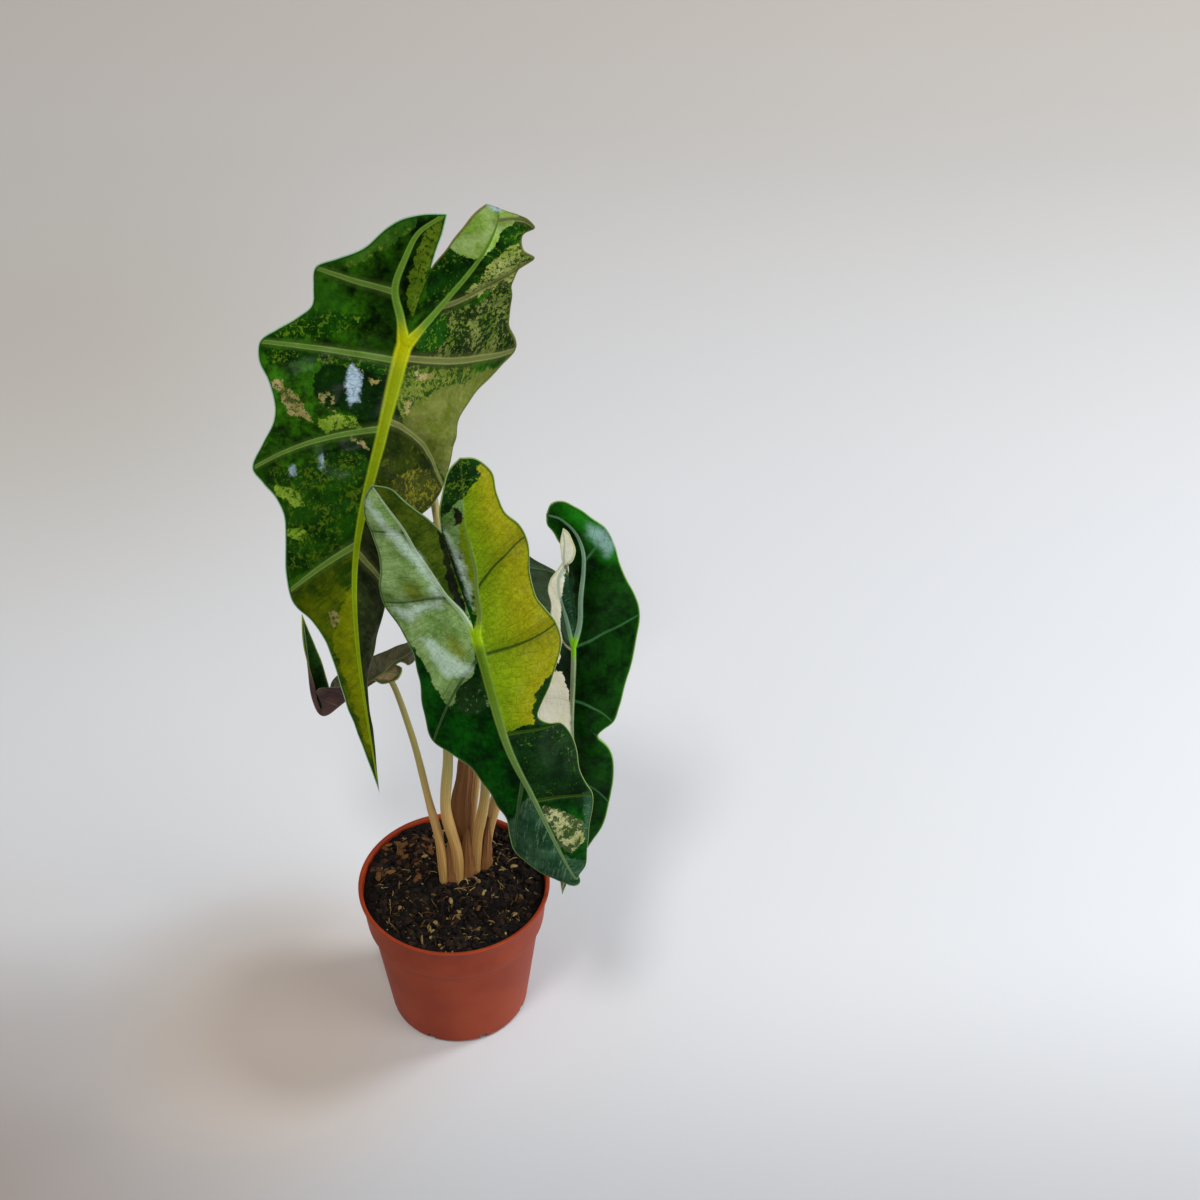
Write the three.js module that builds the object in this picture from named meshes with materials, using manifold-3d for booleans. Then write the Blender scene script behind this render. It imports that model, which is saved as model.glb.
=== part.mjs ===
// A variegated alocasia with five leaves, growing in a round plastic nursery pot.
// Millimetres, +Z up. The origin is the middle of the pot's flat base, on the surface that it stands on.
// +X is to the right and -Y towards a viewer who sees the tall leaf on the left.
import * as THREE from 'three';
import { mergeVertices } from 'three/addons/utils/BufferGeometryUtils.js';
import Module from 'manifold-3d';

const wasm = await Module();
wasm.setup();

// Gap kept between two pieces that touch
const GAP = 0.3;

// Pot: a thermoformed plastic pot of 10.5 cm
const POT = {
  height: 92, rimRadius: 52.5, lip: 1.2, lipWidth: 2.2,
  collarTop: 51.4, collarBottom: 48.9, collarHeight: 24, step: 2.2,
  baseRadius: 38, cornerRadius: 3.5, wall: 1.2, floor: 1.4, sides: 48,
};
const DRAIN = { count: 8, length: 9, width: 4, radius: 34 };

// Soil: the top is a little under the rim, with chips lying half sunk in it, clear of the stalks
const SOIL = { top: 87, edge: 1.6, relief: 1.2, rings: 7, sides: 36, keepOff: 19 };
const CHIPS = { count: 22, size: [4, 2, 1.8], spread: [5, 1, 0], tilt: 0.5, x: [-42, 42], y: [-42, 42] };
const BARK = { count: 5, size: [9, 5, 3], spread: [4, 2, 0], tilt: 0.5, x: [-42, -16], y: [-25, 25] };

// Corm and roots, hidden in the soil under the leaf stalks
const CORM = { x: 4.5, y: 14, crown: 80, crownRadius: 15.5, depth: 32, radius: 16.5, sides: 18 };
const ROOTS = { count: 6, radius: 1.6, reach: 22, drop: 32, sides: 5, steps: 5 };

// Blades: quilt is how far the blade bulges up between two side veins, wave how far its margin swings there.
// Both fade out on rows shorter than fullRow. Each row has a point close to the rib and then the columns.
const BLADE = {
  thickness: 1.0, quilt: 1.6, wave: 1.4, fullRow: 30, nearRib: 3.2, columns: [0.38, 0.7, 1],
  innerColumns: [0.6, 1], ribStep: 15, stalkAt: 2, pathSteps: 40, dipLength: 25, raiseLength: 22,
};

const mm = (x, y, z) => new THREE.Vector3(x, y, z);
const vectors = (list) => list.map((p) => mm(...p));

// Each leaf is described flat and then bent. Flat, x runs across the leaf, to the right as its upper side
// is seen, and y along the midrib, from 0 at the stalk to the tip. The two rear lobes have y below 0.
//   path      the midrib in space: lobes' end, a point between, the stalk (index 2), then on to the tip
//   face      the way the upper side looks, at the lobes' end, the stalk, half way and the tip
//   fold      how far each half leans out of the leaf's plane there, in degrees, less than 0 to the back
//   curl      how much it bends more, in degrees for each 100 mm across
//   costa     the main vein of each rear lobe, from the stalk to the lobe's tip
//   joined    the y of points along the middle where the lobes are still one, the last at the notch
//   inner     the lobe's margin from the notch to its tip, without both ends
//   outer     the margin from the lobe's tip to the leaf's tip. A station with four numbers is the tip of a
//             side vein: x, y, where the vein starts (y on the midrib, or less than 0 along the costa) and
//             how far it bows towards the tip
//   valley    how deep the leaf dips between its two lobes; raised: how far a lobe's end stands forward
//   rib       thickness that the midrib adds under the blade at the stalk
const LEAVES = {
  tall: {
    path: [[18, 80, 474], [0, 72, 444], [-14, 60, 409], [-24, 30, 381], [-37, -4, 337], [-38, -27, 290],
      [-31, -45, 206]],
    face: [[0.25, -0.85, 0.45], [0.3, -0.75, 0.6], [0.22, -0.82, 0.5], [0.15, -0.9, 0.4]],
    left: {
      fold: [-12, -16, -18, -22], curl: [-10, -10, -15, -20], raised: 0,
      costa: [[0, 0], [-6, -12], [-13, -24], [-14, -40], [-14, -52], [-10, -62], [-7, -68]],
      inner: [[-2, -48], [-4, -58]],
      outer: [[-7, -68], [-17, -61], [-24, -54], [-29, -46], [-34, -36], [-44, -27], [-53, -19, -26, 0],
        [-51, -11], [-49, -4], [-54, 2], [-62, 8], [-69, 14, 8, 0], [-67, 22], [-60, 31], [-55, 41],
        [-53, 52], [-56, 64], [-58, 76, 42, -4], [-51, 81], [-43, 86], [-37, 94], [-35, 108],
        [-33, 124, 99, 0], [-29, 132], [-22, 138], [-16, 149], [-12, 166], [-9, 187], [-5, 209], [0, 238]],
    },
    right: {
      fold: [-20, -26, -36, -80], curl: [-10, -15, -18, -20], raised: 0,
      costa: [[0, 0], [6, -9], [13, -21], [19, -38], [21, -56], [19, -72], [14, -83]],
      inner: [[2, -50], [3, -62], [5, -75], [9, -82]],
      outer: [[14, -83], [27, -82], [40, -77, -80, -3], [36, -72], [40, -66], [50, -63, -25, 8], [46, -54],
        [48, -44], [54, -29], [60, -16], [74, -6, 6, 0], [62, 2], [53, 10], [48, 19], [50, 32], [51, 46],
        [51, 62, 38, -7], [46, 73], [38, 83], [32, 98], [30, 114], [28, 130, 103, -2], [24, 142], [17, 155],
        [9, 167], [5, 178], [4, 190], [5, 202], [4, 216], [0, 238]],
    },
    joined: [-12, -24, -34, -40], valley: 1, rib: 1.9,
  },
  front: {
    path: [[-3, -22, 393], [11, -28, 336], [20, -32, 303], [34, -54, 253], [48, -64, 221], [66, -70, 175],
      [70, -62, 167]],
    face: [[0, -0.9, 0.4], [0, -0.85, 0.5], [0.05, -0.88, 0.45], [0.1, -0.9, 0.4]],
    left: {
      fold: [-25, -24, -22, -20], curl: [-10, -10, -15, -20], raised: 0,
      costa: [[0, 0], [-3, -12], [-8, -24], [-12, -39], [-16, -52], [-19, -65], [-24, -78], [-28, -89]],
      inner: [[-3, -64], [-7, -71], [-12, -79], [-18, -87]],
      outer: [[-28, -89], [-34, -82], [-38, -72], [-38, -61, -64, 0], [-37, -50], [-39, -39], [-43, -29],
        [-45, -19, -24, 0], [-42, -11], [-38, -2], [-37, 8], [-38, 19], [-40, 31], [-41, 42],
        [-40, 52, 10, -3], [-32, 58], [-24, 66], [-21, 76], [-20, 88], [-19, 100], [-22, 111],
        [-24, 121, 78, -2], [-20, 130], [-14, 139], [-8, 147], [0, 155]],
    },
    right: {
      fold: [-22, -20, -20, -20], curl: [-10, -10, -15, -20], raised: 0,
      costa: [[0, 0], [5, -9], [8, -22], [11, -34], [12, -48], [13, -61], [17, -76], [21, -94]],
      inner: [[2, -64], [4, -73], [8, -82], [13, -90]],
      outer: [[21, -94], [28, -90], [34, -79], [33, -67], [34, -56], [39, -46], [41, -37, -24, -3], [40, -28],
        [36, -16], [35, -6], [38, 1], [42, 9, 10, 2], [42, 17], [37, 26], [31, 35], [24, 44], [20, 51],
        [24, 57], [31, 62, 52, 0], [33, 71], [32, 81], [28, 91], [28, 100], [29, 109, 92, -1], [25, 117],
        [19, 125], [14, 134], [8, 145], [0, 155]],
    },
    joined: [-12, -24, -36, -48, -57], valley: 5, rib: 1.8,
  },
  right: {
    path: [[59, 34, 328], [62, 24, 284], [66, 18, 249.5], [65, 2, 209], [66, -5, 162], [59, -8, 89]],
    face: [[-0.45, -0.75, 0.4], [-0.45, -0.7, 0.5], [-0.42, -0.75, 0.4], [-0.4, -0.8, 0.3]],
    left: {
      fold: [-26, -32, -22, -20], curl: [-20, -20, -20, -20], raised: 4,
      costa: [[0, 0], [-4, -12], [-7, -26], [-6, -38], [1, -48], [7, -57], [10, -66], [9, -75]],
      inner: [[2, -46], [7, -52], [15, -59], [18, -65], [17, -70], [14, -74]],
      outer: [[9, -75], [6, -67], [5, -59], [0, -51], [-8, -42], [-16, -33, -27, 2], [-20, -22], [-22, -12],
        [-26, -3, 2, 0], [-30, 8], [-33, 20], [-34, 32], [-33, 43, 30, -3], [-31, 53], [-28, 63], [-26, 75],
        [-23, 89], [-20, 101, 80, -2], [-15, 113], [-10, 127], [-6, 144], [0, 164]],
    },
    right: {
      fold: [-26, -28, -27, -25], curl: [-10, -15, -18, -20], raised: 0,
      costa: [[0, 0], [4, -12], [7, -28], [10, -44], [11, -56], [8, -67], [1, -75], [-6, -78]],
      inner: [[1, -47], [2, -52], [1, -57], [-1, -62], [-3, -67], [-6, -72]],
      outer: [[-6, -78], [-3, -84], [3, -85], [9, -82], [16, -76], [23, -69, -52, 2], [27, -60], [29, -49],
        [32, -38], [35, -27], [36, -14, 0, 0], [33, -3], [30, 9], [27, 21], [25, 32], [22, 42, 29, -3],
        [16, 47], [14, 50], [19, 57], [21, 64], [21, 76], [19, 93, 76, -2], [17, 107], [12, 121], [7, 134],
        [3, 150], [0, 164]],
    },
    joined: [-12, -24, -34, -42], valley: 2, rib: 1.7,
  },
  back: {
    path: [[17, 64, 304], [23, 70, 273], [27, 72, 243], [31, 77, 205], [33, 86, 165], [30, 99, 128]],
    face: [[0.05, 0.97, 0.2], [0.1, 0.95, 0.3], [0.1, 0.9, 0.3], [0.1, 0.9, 0.3]],
    left: {
      fold: [-14, -14, -14, -16], curl: [-10, -10, -10, -20], raised: 0,
      costa: [[0, 0], [-6, -12], [-10, -24], [-12, -36], [-14, -47]],
      inner: [[-2, -37], [-6, -43], [-10, -48]],
      outer: [[-14, -47], [-18, -38], [-22, -29], [-29, -24], [-37, -20, -24, 0], [-38, -11], [-37, -2],
        [-40, 7, 3, 0], [-36, 18], [-31, 29], [-29, 41], [-27, 54, 40, -3], [-22, 64], [-17, 76],
        [-15, 86, 74, -2], [-10, 96], [-5, 107], [0, 119]],
    },
    right: {
      fold: [-14, -14, -14, -16], curl: [-10, -10, -10, -20], raised: 0,
      costa: [[0, 0], [6, -12], [10, -26], [13, -40], [15, -53], [17, -65]],
      inner: [[2, -40], [5, -50], [10, -60]],
      outer: [[17, -65], [25, -61], [30, -52], [32, -40], [35, -27, -27, 0], [33, -14], [33, -3],
        [37, 7, 3, 0], [33, 18], [29, 29], [28, 41], [25, 54, 40, -3], [20, 64], [17, 76],
        [14, 86, 74, -2], [10, 96], [5, 107], [0, 119]],
    },
    joined: [-10, -20, -29], valley: 3, rib: 1.5,
  },
  small: {
    path: [[-14, 37, 233], [-24, 39, 221], [-34.5, 42, 208.7], [-56, 46, 186], [-70, 50, 170], [-76, 54, 180],
      [-77, 58, 203], [-78, 64, 233]],
    face: [[-0.3, 0.2, 0.9], [-0.3, 0.2, 0.9], [0.3, 0, 0.95], [0.8, -0.6, 0.1]],
    left: {
      fold: [5, 40, 45, 5], curl: [10, 10, 10, 10], raised: 0,
      costa: [[0, 0], [-2, -9], [-2, -18], [-3, -31]],
      inner: [[0, -15], [3, -19], [7, -23], [8, -28], [4, -32]],
      outer: [[-3, -31], [-10, -26], [-13, -14, -14, 0], [-13, -4], [-14, 6, 2, 0], [-15, 17],
        [-17, 30, 20, 0], [-16, 42], [-12, 52, 44, 0], [-11, 64], [-10, 76], [-8, 88], [-5, 101], [0, 120]],
    },
    right: {
      fold: [-60, 20, 100, 0], curl: [10, 10, 10, 10], raised: 0,
      costa: [[0, 0], [3, -5], [6, -11], [9, -17]],
      inner: [[2, -14], [5, -17]],
      outer: [[9, -17], [13, -15], [14, -8, -8, 0], [11, -2], [8, 3], [8, 9, 4, 0], [14, 18],
        [19, 27, 20, 0], [17, 35], [11, 42, 38, 0], [5, 50], [3, 62], [5, 76], [4, 97], [0, 120]],
    },
    joined: [-6, -11], valley: 0, rib: 1.2,
  },
};

// Leaf stalks: the way from the corm's crown up to a point behind the blade, and the radius at the foot,
// half way and the top. It comes up to the blade from a point that lies behind it.
const STALKS = {
  tall: { path: [[1.6, 7, 110], [-3, 9, 139], [-0.4, 13, 179], [-0.5, 36, 310], [-15, 67, 388]],
    foot: [1.6, 7], radii: [3.4, 2.3, 1.8], behind: 13 },
  front: { path: [[12.5, 11.5, 110], [19, 8, 157], [20, -12, 250]], foot: [11, 13], radii: [3.1, 2.6, 1.9],
    behind: 13 },
  right: { path: [[18, 21, 110], [24, 24, 134], [43, 38, 190], [62, 42, 226]], foot: [14.4, 20],
    radii: [4.1, 2.8, 1.9], behind: 13 },
  back: { path: [[8, 27, 105], [14, 41, 150], [22, 56, 210]], foot: [5.5, 23.5], radii: [3.0, 2.3, 1.7],
    behind: 13 },
  small: { path: [[-7.5, 9, 116], [-12, 14, 139], [-20, 24, 180]], foot: [-5.5, 5.4], radii: [3.2, 2.0, 1.6],
    behind: 6 },
};
const STALK = { sides: 8, stepLength: 14, upright: 8 };

// Dry brown leaf sheath that stands behind the tall leaf's stalk
const SHEATH = {
  path: [[4, 14, 80.4], [4, 14, 102], [5, 15, 133], [8.5, 17, 166], [10.7, 17, 210]],
  halfWidths: [3.4, 5, 6.2, 4.4, 0.8], hollow: 0.4, thickness: 0.9, columns: 4, rows: 10,
};

const COLOURS = {
  pot: [0xa8432b, 0.55], soil: [0x2b1d16, 0.95], corm: [0x8a6a4c, 0.8], sheath: [0x6e3a26, 0.8],
  stalk: [0xa9a24a, 0.5], tall: [0x2f5a1c, 0.35], front: [0x7d9a2a, 0.35], right: [0x1f4a22, 0.35],
  back: [0x5c6f56, 0.5], small: [0x3a3f32, 0.5],
};

// Reads a list of values at the lobes' end, the stalk, half way and the tip
function along(values, y, low, high) {
  const knots = [low, 0, high / 2, high];
  const i = y < 0 ? 0 : y < high / 2 ? 1 : 2;
  const t = THREE.MathUtils.clamp((y - knots[i]) / (knots[i + 1] - knots[i]), 0, 1);
  const [a, b] = [values[i], values[i + 1]];
  return Array.isArray(a) ? mm(...a).lerp(mm(...b), t) : a + (b - a) * t;
}

// The bent leaf: turns a place on the flat leaf into a place in space
class BentLeaf {
  constructor(leaf) {
    this.leaf = leaf;
    this.curve = new THREE.CatmullRomCurve3(vectors(leaf.path), false, 'catmullrom', 0.5);
    this.curve.arcLengthDivisions = BLADE.pathSteps * (leaf.path.length - 1);
    const lengths = this.curve.getLengths();
    this.low = -lengths[BLADE.pathSteps * BLADE.stalkAt];
    this.high = lengths.at(-1) + this.low;
  }

  frame(y) {
    const inside = THREE.MathUtils.clamp(y, this.low, this.high);
    const u = (inside - this.low) / (this.high - this.low);
    const tangent = this.curve.getTangentAt(u);
    const point = this.curve.getPointAt(u).addScaledVector(tangent, y - inside);
    const face = along(this.leaf.face, y, this.low, this.high);
    const normal = face.addScaledVector(tangent, -face.dot(tangent)).normalize();
    return { point, tangent, normal, across: new THREE.Vector3().crossVectors(normal, tangent) };
  }

  at(side, x, y, lift) {
    const half = side < 0 ? this.leaf.left : this.leaf.right;
    const { point, normal, across } = this.frame(y);
    if (x === 0) return point.addScaledVector(normal, lift);
    const fold = THREE.MathUtils.degToRad(along(half.fold, y, this.low, this.high));
    const curl = THREE.MathUtils.degToRad(along(half.curl, y, this.low, this.high)) / 100;
    const out = side * x;
    const angle = fold + curl * out;
    return point
      .addScaledVector(across, side * ((Math.sin(angle) - Math.sin(fold)) / curl - Math.sin(angle) * lift))
      .addScaledVector(normal, (Math.cos(fold) - Math.cos(angle)) / curl + Math.cos(angle) * lift);
  }
}

// Distance along a list of flat points, and the point at a distance
function distances(points) {
  const sums = [0];
  for (let i = 1; i < points.length; i += 1) {
    sums.push(sums[i - 1] + Math.hypot(points[i][0] - points[i - 1][0], points[i][1] - points[i - 1][1]));
  }
  return sums;
}

function pointAlong(points, distance) {
  const sums = distances(points);
  const i = Math.max(1, sums.findIndex((d) => d >= distance - 1e-9));
  const t = (distance - sums[i - 1]) / (sums[i] - sums[i - 1]);
  return [0, 1].map((k) => points[i - 1][k] + (points[i][k] - points[i - 1][k]) * t);
}

// Fills in where each station's row starts and how it bows, between the stations that give it, and how far
// the station is from the two veins beside it: 0 at a vein, 1 half way between two
function fillStations(stations, startRoot, endRoot) {
  const sums = distances(stations);
  const known = stations.map(([, , root, bow], i) => {
    if (i === 0) return { i, root: startRoot, bow: 0 };
    if (i === stations.length - 1) return { i, root: endRoot, bow: 0 };
    return root === undefined ? null : { i, root, bow };
  }).filter(Boolean);
  return stations.map(([x, y], i) => {
    const next = Math.max(1, known.findIndex((k) => k.i >= i));
    const [a, b] = [known[next - 1], known[next]];
    const t = (sums[i] - sums[a.i]) / (sums[b.i] - sums[a.i]);
    return { x, y, root: a.root + (b.root - a.root) * t, bow: a.bow + (b.bow - a.bow) * t,
      between: Math.sin(Math.PI * t) };
  });
}

// A flat mesh of one leaf. Points on the middle line are shared by both halves.
class FlatMesh {
  constructor() {
    this.points = [];
    this.triangles = [];
    this.known = new Map();
    this.turned = false;
  }

  point(side, x, y, extra) {
    const half = x === 0 ? 0 : side;
    const key = `${half} ${x.toFixed(3)} ${y.toFixed(3)}`;
    if (!this.known.has(key)) {
      this.known.set(key, this.points.length);
      this.points.push({ side, x, y, lift: 0, rib: 0, ...extra });
    }
    return this.known.get(key);
  }

  // turned is true where the strip runs the other way round
  triangle(a, b, c) {
    if (a === b || b === c || c === a) return;
    this.triangles.push(this.turned ? [a, c, b] : [a, b, c]);
  }

  // Fills the band between two rows of points that need not have the same number; at gives their places
  // along the band
  band(first, firstAt, second, secondAt) {
    let [i, j] = [0, 0];
    while (i < first.length - 1 || j < second.length - 1) {
      const stepFirst = j === second.length - 1
        || (i < first.length - 1 && firstAt[i + 1] <= (secondAt[j] + secondAt[j + 1]) / 2);
      if (stepFirst) {
        this.triangle(first[i], first[i + 1], second[j]);
        i += 1;
      } else {
        this.triangle(first[i], second[j + 1], second[j]);
        j += 1;
      }
    }
  }
}

// One side of a rib: rows run from the rib's nodes out to the stations of a margin
function addStrip(mesh, side, nodes, stations, rootPoint, columns, liftAt) {
  const rows = stations.map((s) => {
    const [rx, ry] = rootPoint(s.root);
    const length = Math.hypot(s.x - rx, s.y - ry);
    const bend = [(rx + s.x) / 2, (ry + s.y) / 2 + 2 * s.bow];
    const near = Math.min(columns[0] * 0.8, BLADE.nearRib / Math.max(length, 1));
    return [near, ...columns].map((t) => {
      const [a, b, c] = [(1 - t) ** 2, 2 * t * (1 - t), t * t];
      const x = length < 1e-6 ? s.x : a * rx + b * bend[0] + c * s.x;
      const y = length < 1e-6 ? s.y : a * ry + b * bend[1] + c * s.y;
      const size = Math.min(1, length / BLADE.fullRow);
      const lift = size * s.between * BLADE.quilt * Math.sin(Math.PI * t)
        + size * BLADE.wave * (s.between - 0.5) * t * t + liftAt(x, y);
      return mesh.point(side, x, y, { lift });
    });
  });
  const rootsAt = stations.map((s) => s.root);
  mesh.band(nodes.map((n) => n.index), nodes.map((n) => n.at), rows.map((r) => r[0]), rootsAt);
  for (let c = 0; c < columns.length; c += 1) {
    for (let i = 0; i < rows.length - 1; i += 1) {
      const [a, b, d, e] = [rows[i][c], rows[i + 1][c], rows[i + 1][c + 1], rows[i][c + 1]];
      mesh.triangle(a, b, d);
      mesh.triangle(a, d, e);
    }
  }
}

function flatLeaf(leaf, bent) {
  const mesh = new FlatMesh();
  const notch = leaf.joined.at(-1);
  const ribAt = (at) => leaf.rib * (at < 0 ? 0.75 * (1 - at / (2 * bent.low)) : 1 - 0.8 * at / bent.high);
  for (const side of [-1, 1]) {
    const half = side < 0 ? leaf.left : leaf.right;
    const costaLength = distances(half.costa).at(-1);
    const tip = half.outer.at(-1);

    // The dip between the lobes is deepest in the middle, ends at the costa and fades past the notch. A
    // raised lobe end leans forward past the notch.
    const liftAt = (x, y) => {
      if (y >= 0) return 0;
      const costaX = Math.abs(pointAlong(half.costa, Math.min(costaLength, -y))[0]);
      const across = Math.max(0, 1 - Math.abs(x) / Math.max(costaX, 1));
      const past = THREE.MathUtils.smoothstep(notch - y, 0, BLADE.raiseLength);
      return half.raised * past - leaf.valley * Math.min(1, -y / BLADE.dipLength) * across * (1 - past);
    };
    const rootPoint = (root) => (root < 0 ? pointAlong(half.costa, -root) : [0, root]);
    const node = (at) => {
      const [x, y] = rootPoint(at);
      return { at, index: mesh.point(side, x, y, { lift: liftAt(x, y), rib: ribAt(at) }) };
    };
    const costaNodes = distances(half.costa).slice(1).map((d) => node(-d)).reverse();
    const steps = Math.round(tip[1] / BLADE.ribStep);
    const midribNodes = Array.from({ length: steps + 1 }, (_, i) => node((tip[1] * i) / steps));
    const outer = fillStations(half.outer, -costaLength, tip[1]);
    mesh.turned = side < 0;
    addStrip(mesh, side, [...costaNodes, ...midribNodes], outer, rootPoint, BLADE.columns, liftAt);

    const innerPath = [[0, 0], ...leaf.joined.map((y) => [0, y]), ...half.inner, half.costa.at(-1)];
    const inner = fillStations(innerPath, 0, -costaLength).map((s) => ({ ...s, between: 0 })).reverse();
    mesh.turned = side > 0;
    addStrip(mesh, side, [...costaNodes, midribNodes[0]], inner, rootPoint, BLADE.innerColumns, liftAt);
  }
  return mesh;
}

// Gives a flat mesh its place in space and closes the edge between its upper side and its under side
function thicken(flat, place) {
  const count = flat.points.length;
  const top = flat.points.map((p) => place(p, 0));
  const bottom = flat.points.map((p) => place(p, 1));
  const index = [];
  const edges = new Map();
  for (const [a, b, c] of flat.triangles) {
    index.push(a, b, c, c + count, b + count, a + count);
    for (const [p, q] of [[a, b], [b, c], [c, a]]) {
      if (!edges.delete(`${q} ${p}`)) edges.set(`${p} ${q}`, [p, q]);
    }
  }
  for (const [p, q] of edges.values()) index.push(q, p, p + count, q, p + count, q + count);
  const geometry = new THREE.BufferGeometry().setFromPoints([...top, ...bottom]);
  geometry.setIndex(index);
  return geometry;
}

function bladeGeometry(leaf) {
  const bent = new BentLeaf(leaf);
  const flat = flatLeaf(leaf, bent);
  const place = (p, under) => bent.at(p.side, p.x, p.y, p.lift - under * (BLADE.thickness + p.rib));
  return thicken(flat, place);
}

// A tube that tapers along a curve; radius gives its half width at each part of the way
function taperedTube(curve, radius, sides, steps) {
  const frames = curve.computeFrenetFrames(steps, false);
  const points = [];
  const index = [];
  for (let i = 0; i <= steps; i += 1) {
    const centre = curve.getPointAt(i / steps);
    for (let k = 0; k < sides; k += 1) {
      const angle = (2 * Math.PI * k) / sides;
      points.push(centre.clone()
        .addScaledVector(frames.normals[i], Math.cos(angle) * radius(i / steps))
        .addScaledVector(frames.binormals[i], Math.sin(angle) * radius(i / steps)));
    }
  }
  const first = points.push(curve.getPointAt(0)) - 1;
  const last = points.push(curve.getPointAt(1)) - 1;
  for (let k = 0; k < sides; k += 1) {
    const next = (k + 1) % sides;
    for (let i = 0; i < steps; i += 1) {
      const [a, b] = [i * sides + k, i * sides + next];
      index.push(a, b, b + sides, a, b + sides, a + sides);
    }
    index.push(first, next, k, last, steps * sides + k, steps * sides + next);
  }
  const geometry = new THREE.BufferGeometry().setFromPoints(points);
  geometry.setIndex(index);
  return geometry;
}

// A stalk stands on the crown and ends square to the blade, just under its rib
function stalkGeometry(name, grow) {
  const leaf = LEAVES[name];
  const { path, foot, radii, behind } = STALKS[name];
  const bent = new BentLeaf(leaf);
  const { point, normal } = bent.frame(0);
  const under = BLADE.thickness + leaf.rib + GAP;
  const footHeight = CORM.crown + GAP - grow;
  const curve = new THREE.CatmullRomCurve3([
    mm(...foot, footHeight), mm(...foot, footHeight + STALK.upright), ...vectors(path),
    point.clone().addScaledVector(normal, -behind), point.clone().addScaledVector(normal, -under),
  ], false, 'centripetal');
  const radius = (u) => grow + (u < 0.5
    ? THREE.MathUtils.lerp(radii[0], radii[1], u * 2) : THREE.MathUtils.lerp(radii[1], radii[2], u * 2 - 1));
  return taperedTube(curve, radius, STALK.sides, Math.round(curve.getLength() / STALK.stepLength));
}

function solid(geometry) {
  const plain = new THREE.BufferGeometry();
  plain.setAttribute('position', geometry.getAttribute('position').clone());
  if (geometry.index) plain.setIndex(geometry.index.clone());
  const merged = mergeVertices(plain, 1e-4);
  return new wasm.Manifold(new wasm.Mesh({
    numProp: 3,
    vertProperties: new Float32Array(merged.getAttribute('position').array),
    triVerts: new Uint32Array(merged.index.array),
  }));
}

function fromSolid(body) {
  const { vertProperties, triVerts } = body.getMesh();
  const geometry = new THREE.BufferGeometry();
  geometry.setAttribute('position', new THREE.BufferAttribute(vertProperties, 3));
  geometry.setIndex(new THREE.BufferAttribute(triVerts, 1));
  return geometry;
}

// The same small random numbers each time
function seeded(seed) {
  let state = seed;
  return () => {
    state = (state * 16807) % 2147483647;
    return state / 2147483647;
  };
}

const lathe = (profile, sides) => new THREE.LatheGeometry(
  profile.map(([r, z]) => new THREE.Vector2(r, z)), sides).rotateX(Math.PI / 2);

// Radius of the pot's outer side at a height
function potRadius(z) {
  const collarFoot = POT.height - POT.collarHeight;
  if (z > collarFoot) {
    return THREE.MathUtils.mapLinear(z, collarFoot, POT.height, POT.collarBottom, POT.collarTop);
  }
  return THREE.MathUtils.mapLinear(z, 0, collarFoot, POT.baseRadius, POT.collarBottom - POT.step);
}

function potGeometry() {
  const { height, rimRadius, lip, lipWidth, collarHeight, cornerRadius, wall, floor, sides } = POT;
  const collarFoot = height - collarHeight;
  const corner = [0, 30, 60, 90].map((degrees) => {
    const angle = THREE.MathUtils.degToRad(degrees);
    const inwards = cornerRadius * (1 - Math.sin(angle));
    return [potRadius(cornerRadius) - inwards, cornerRadius * (1 - Math.cos(angle))];
  });
  const outside = [[0, 0], ...corner, [potRadius(collarFoot - 2), collarFoot - 2],
    [potRadius(collarFoot + 0.5) - 0.4, collarFoot], [potRadius(collarFoot + 1.5), collarFoot + 1.5],
    [potRadius(height - 2 * lip), height - 2 * lip], [rimRadius, height - lip], [rimRadius, height - 0.3],
    [rimRadius - 0.3, height]];
  const inside = [[rimRadius - lipWidth, height], [potRadius(collarFoot + 2) - wall, collarFoot + 2],
    [potRadius(collarFoot - 1) - wall, collarFoot - 1], [potRadius(5) - wall, 5],
    [potRadius(5) - wall - 3, floor], [0, floor]];
  const body = solid(lathe([...outside, ...inside], sides));

  // Drainage slots round the foot, through the bottom corner
  let cutters = null;
  for (let i = 0; i < DRAIN.count; i += 1) {
    const slot = new THREE.BoxGeometry(DRAIN.length, DRAIN.width, 8);
    slot.translate(DRAIN.radius + DRAIN.length / 2 - 3, 0, 0);
    slot.rotateZ((2 * Math.PI * (i + 0.5)) / DRAIN.count);
    cutters = cutters ? cutters.add(solid(slot)) : solid(slot);
  }
  return fromSolid(body.subtract(cutters));
}

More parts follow.
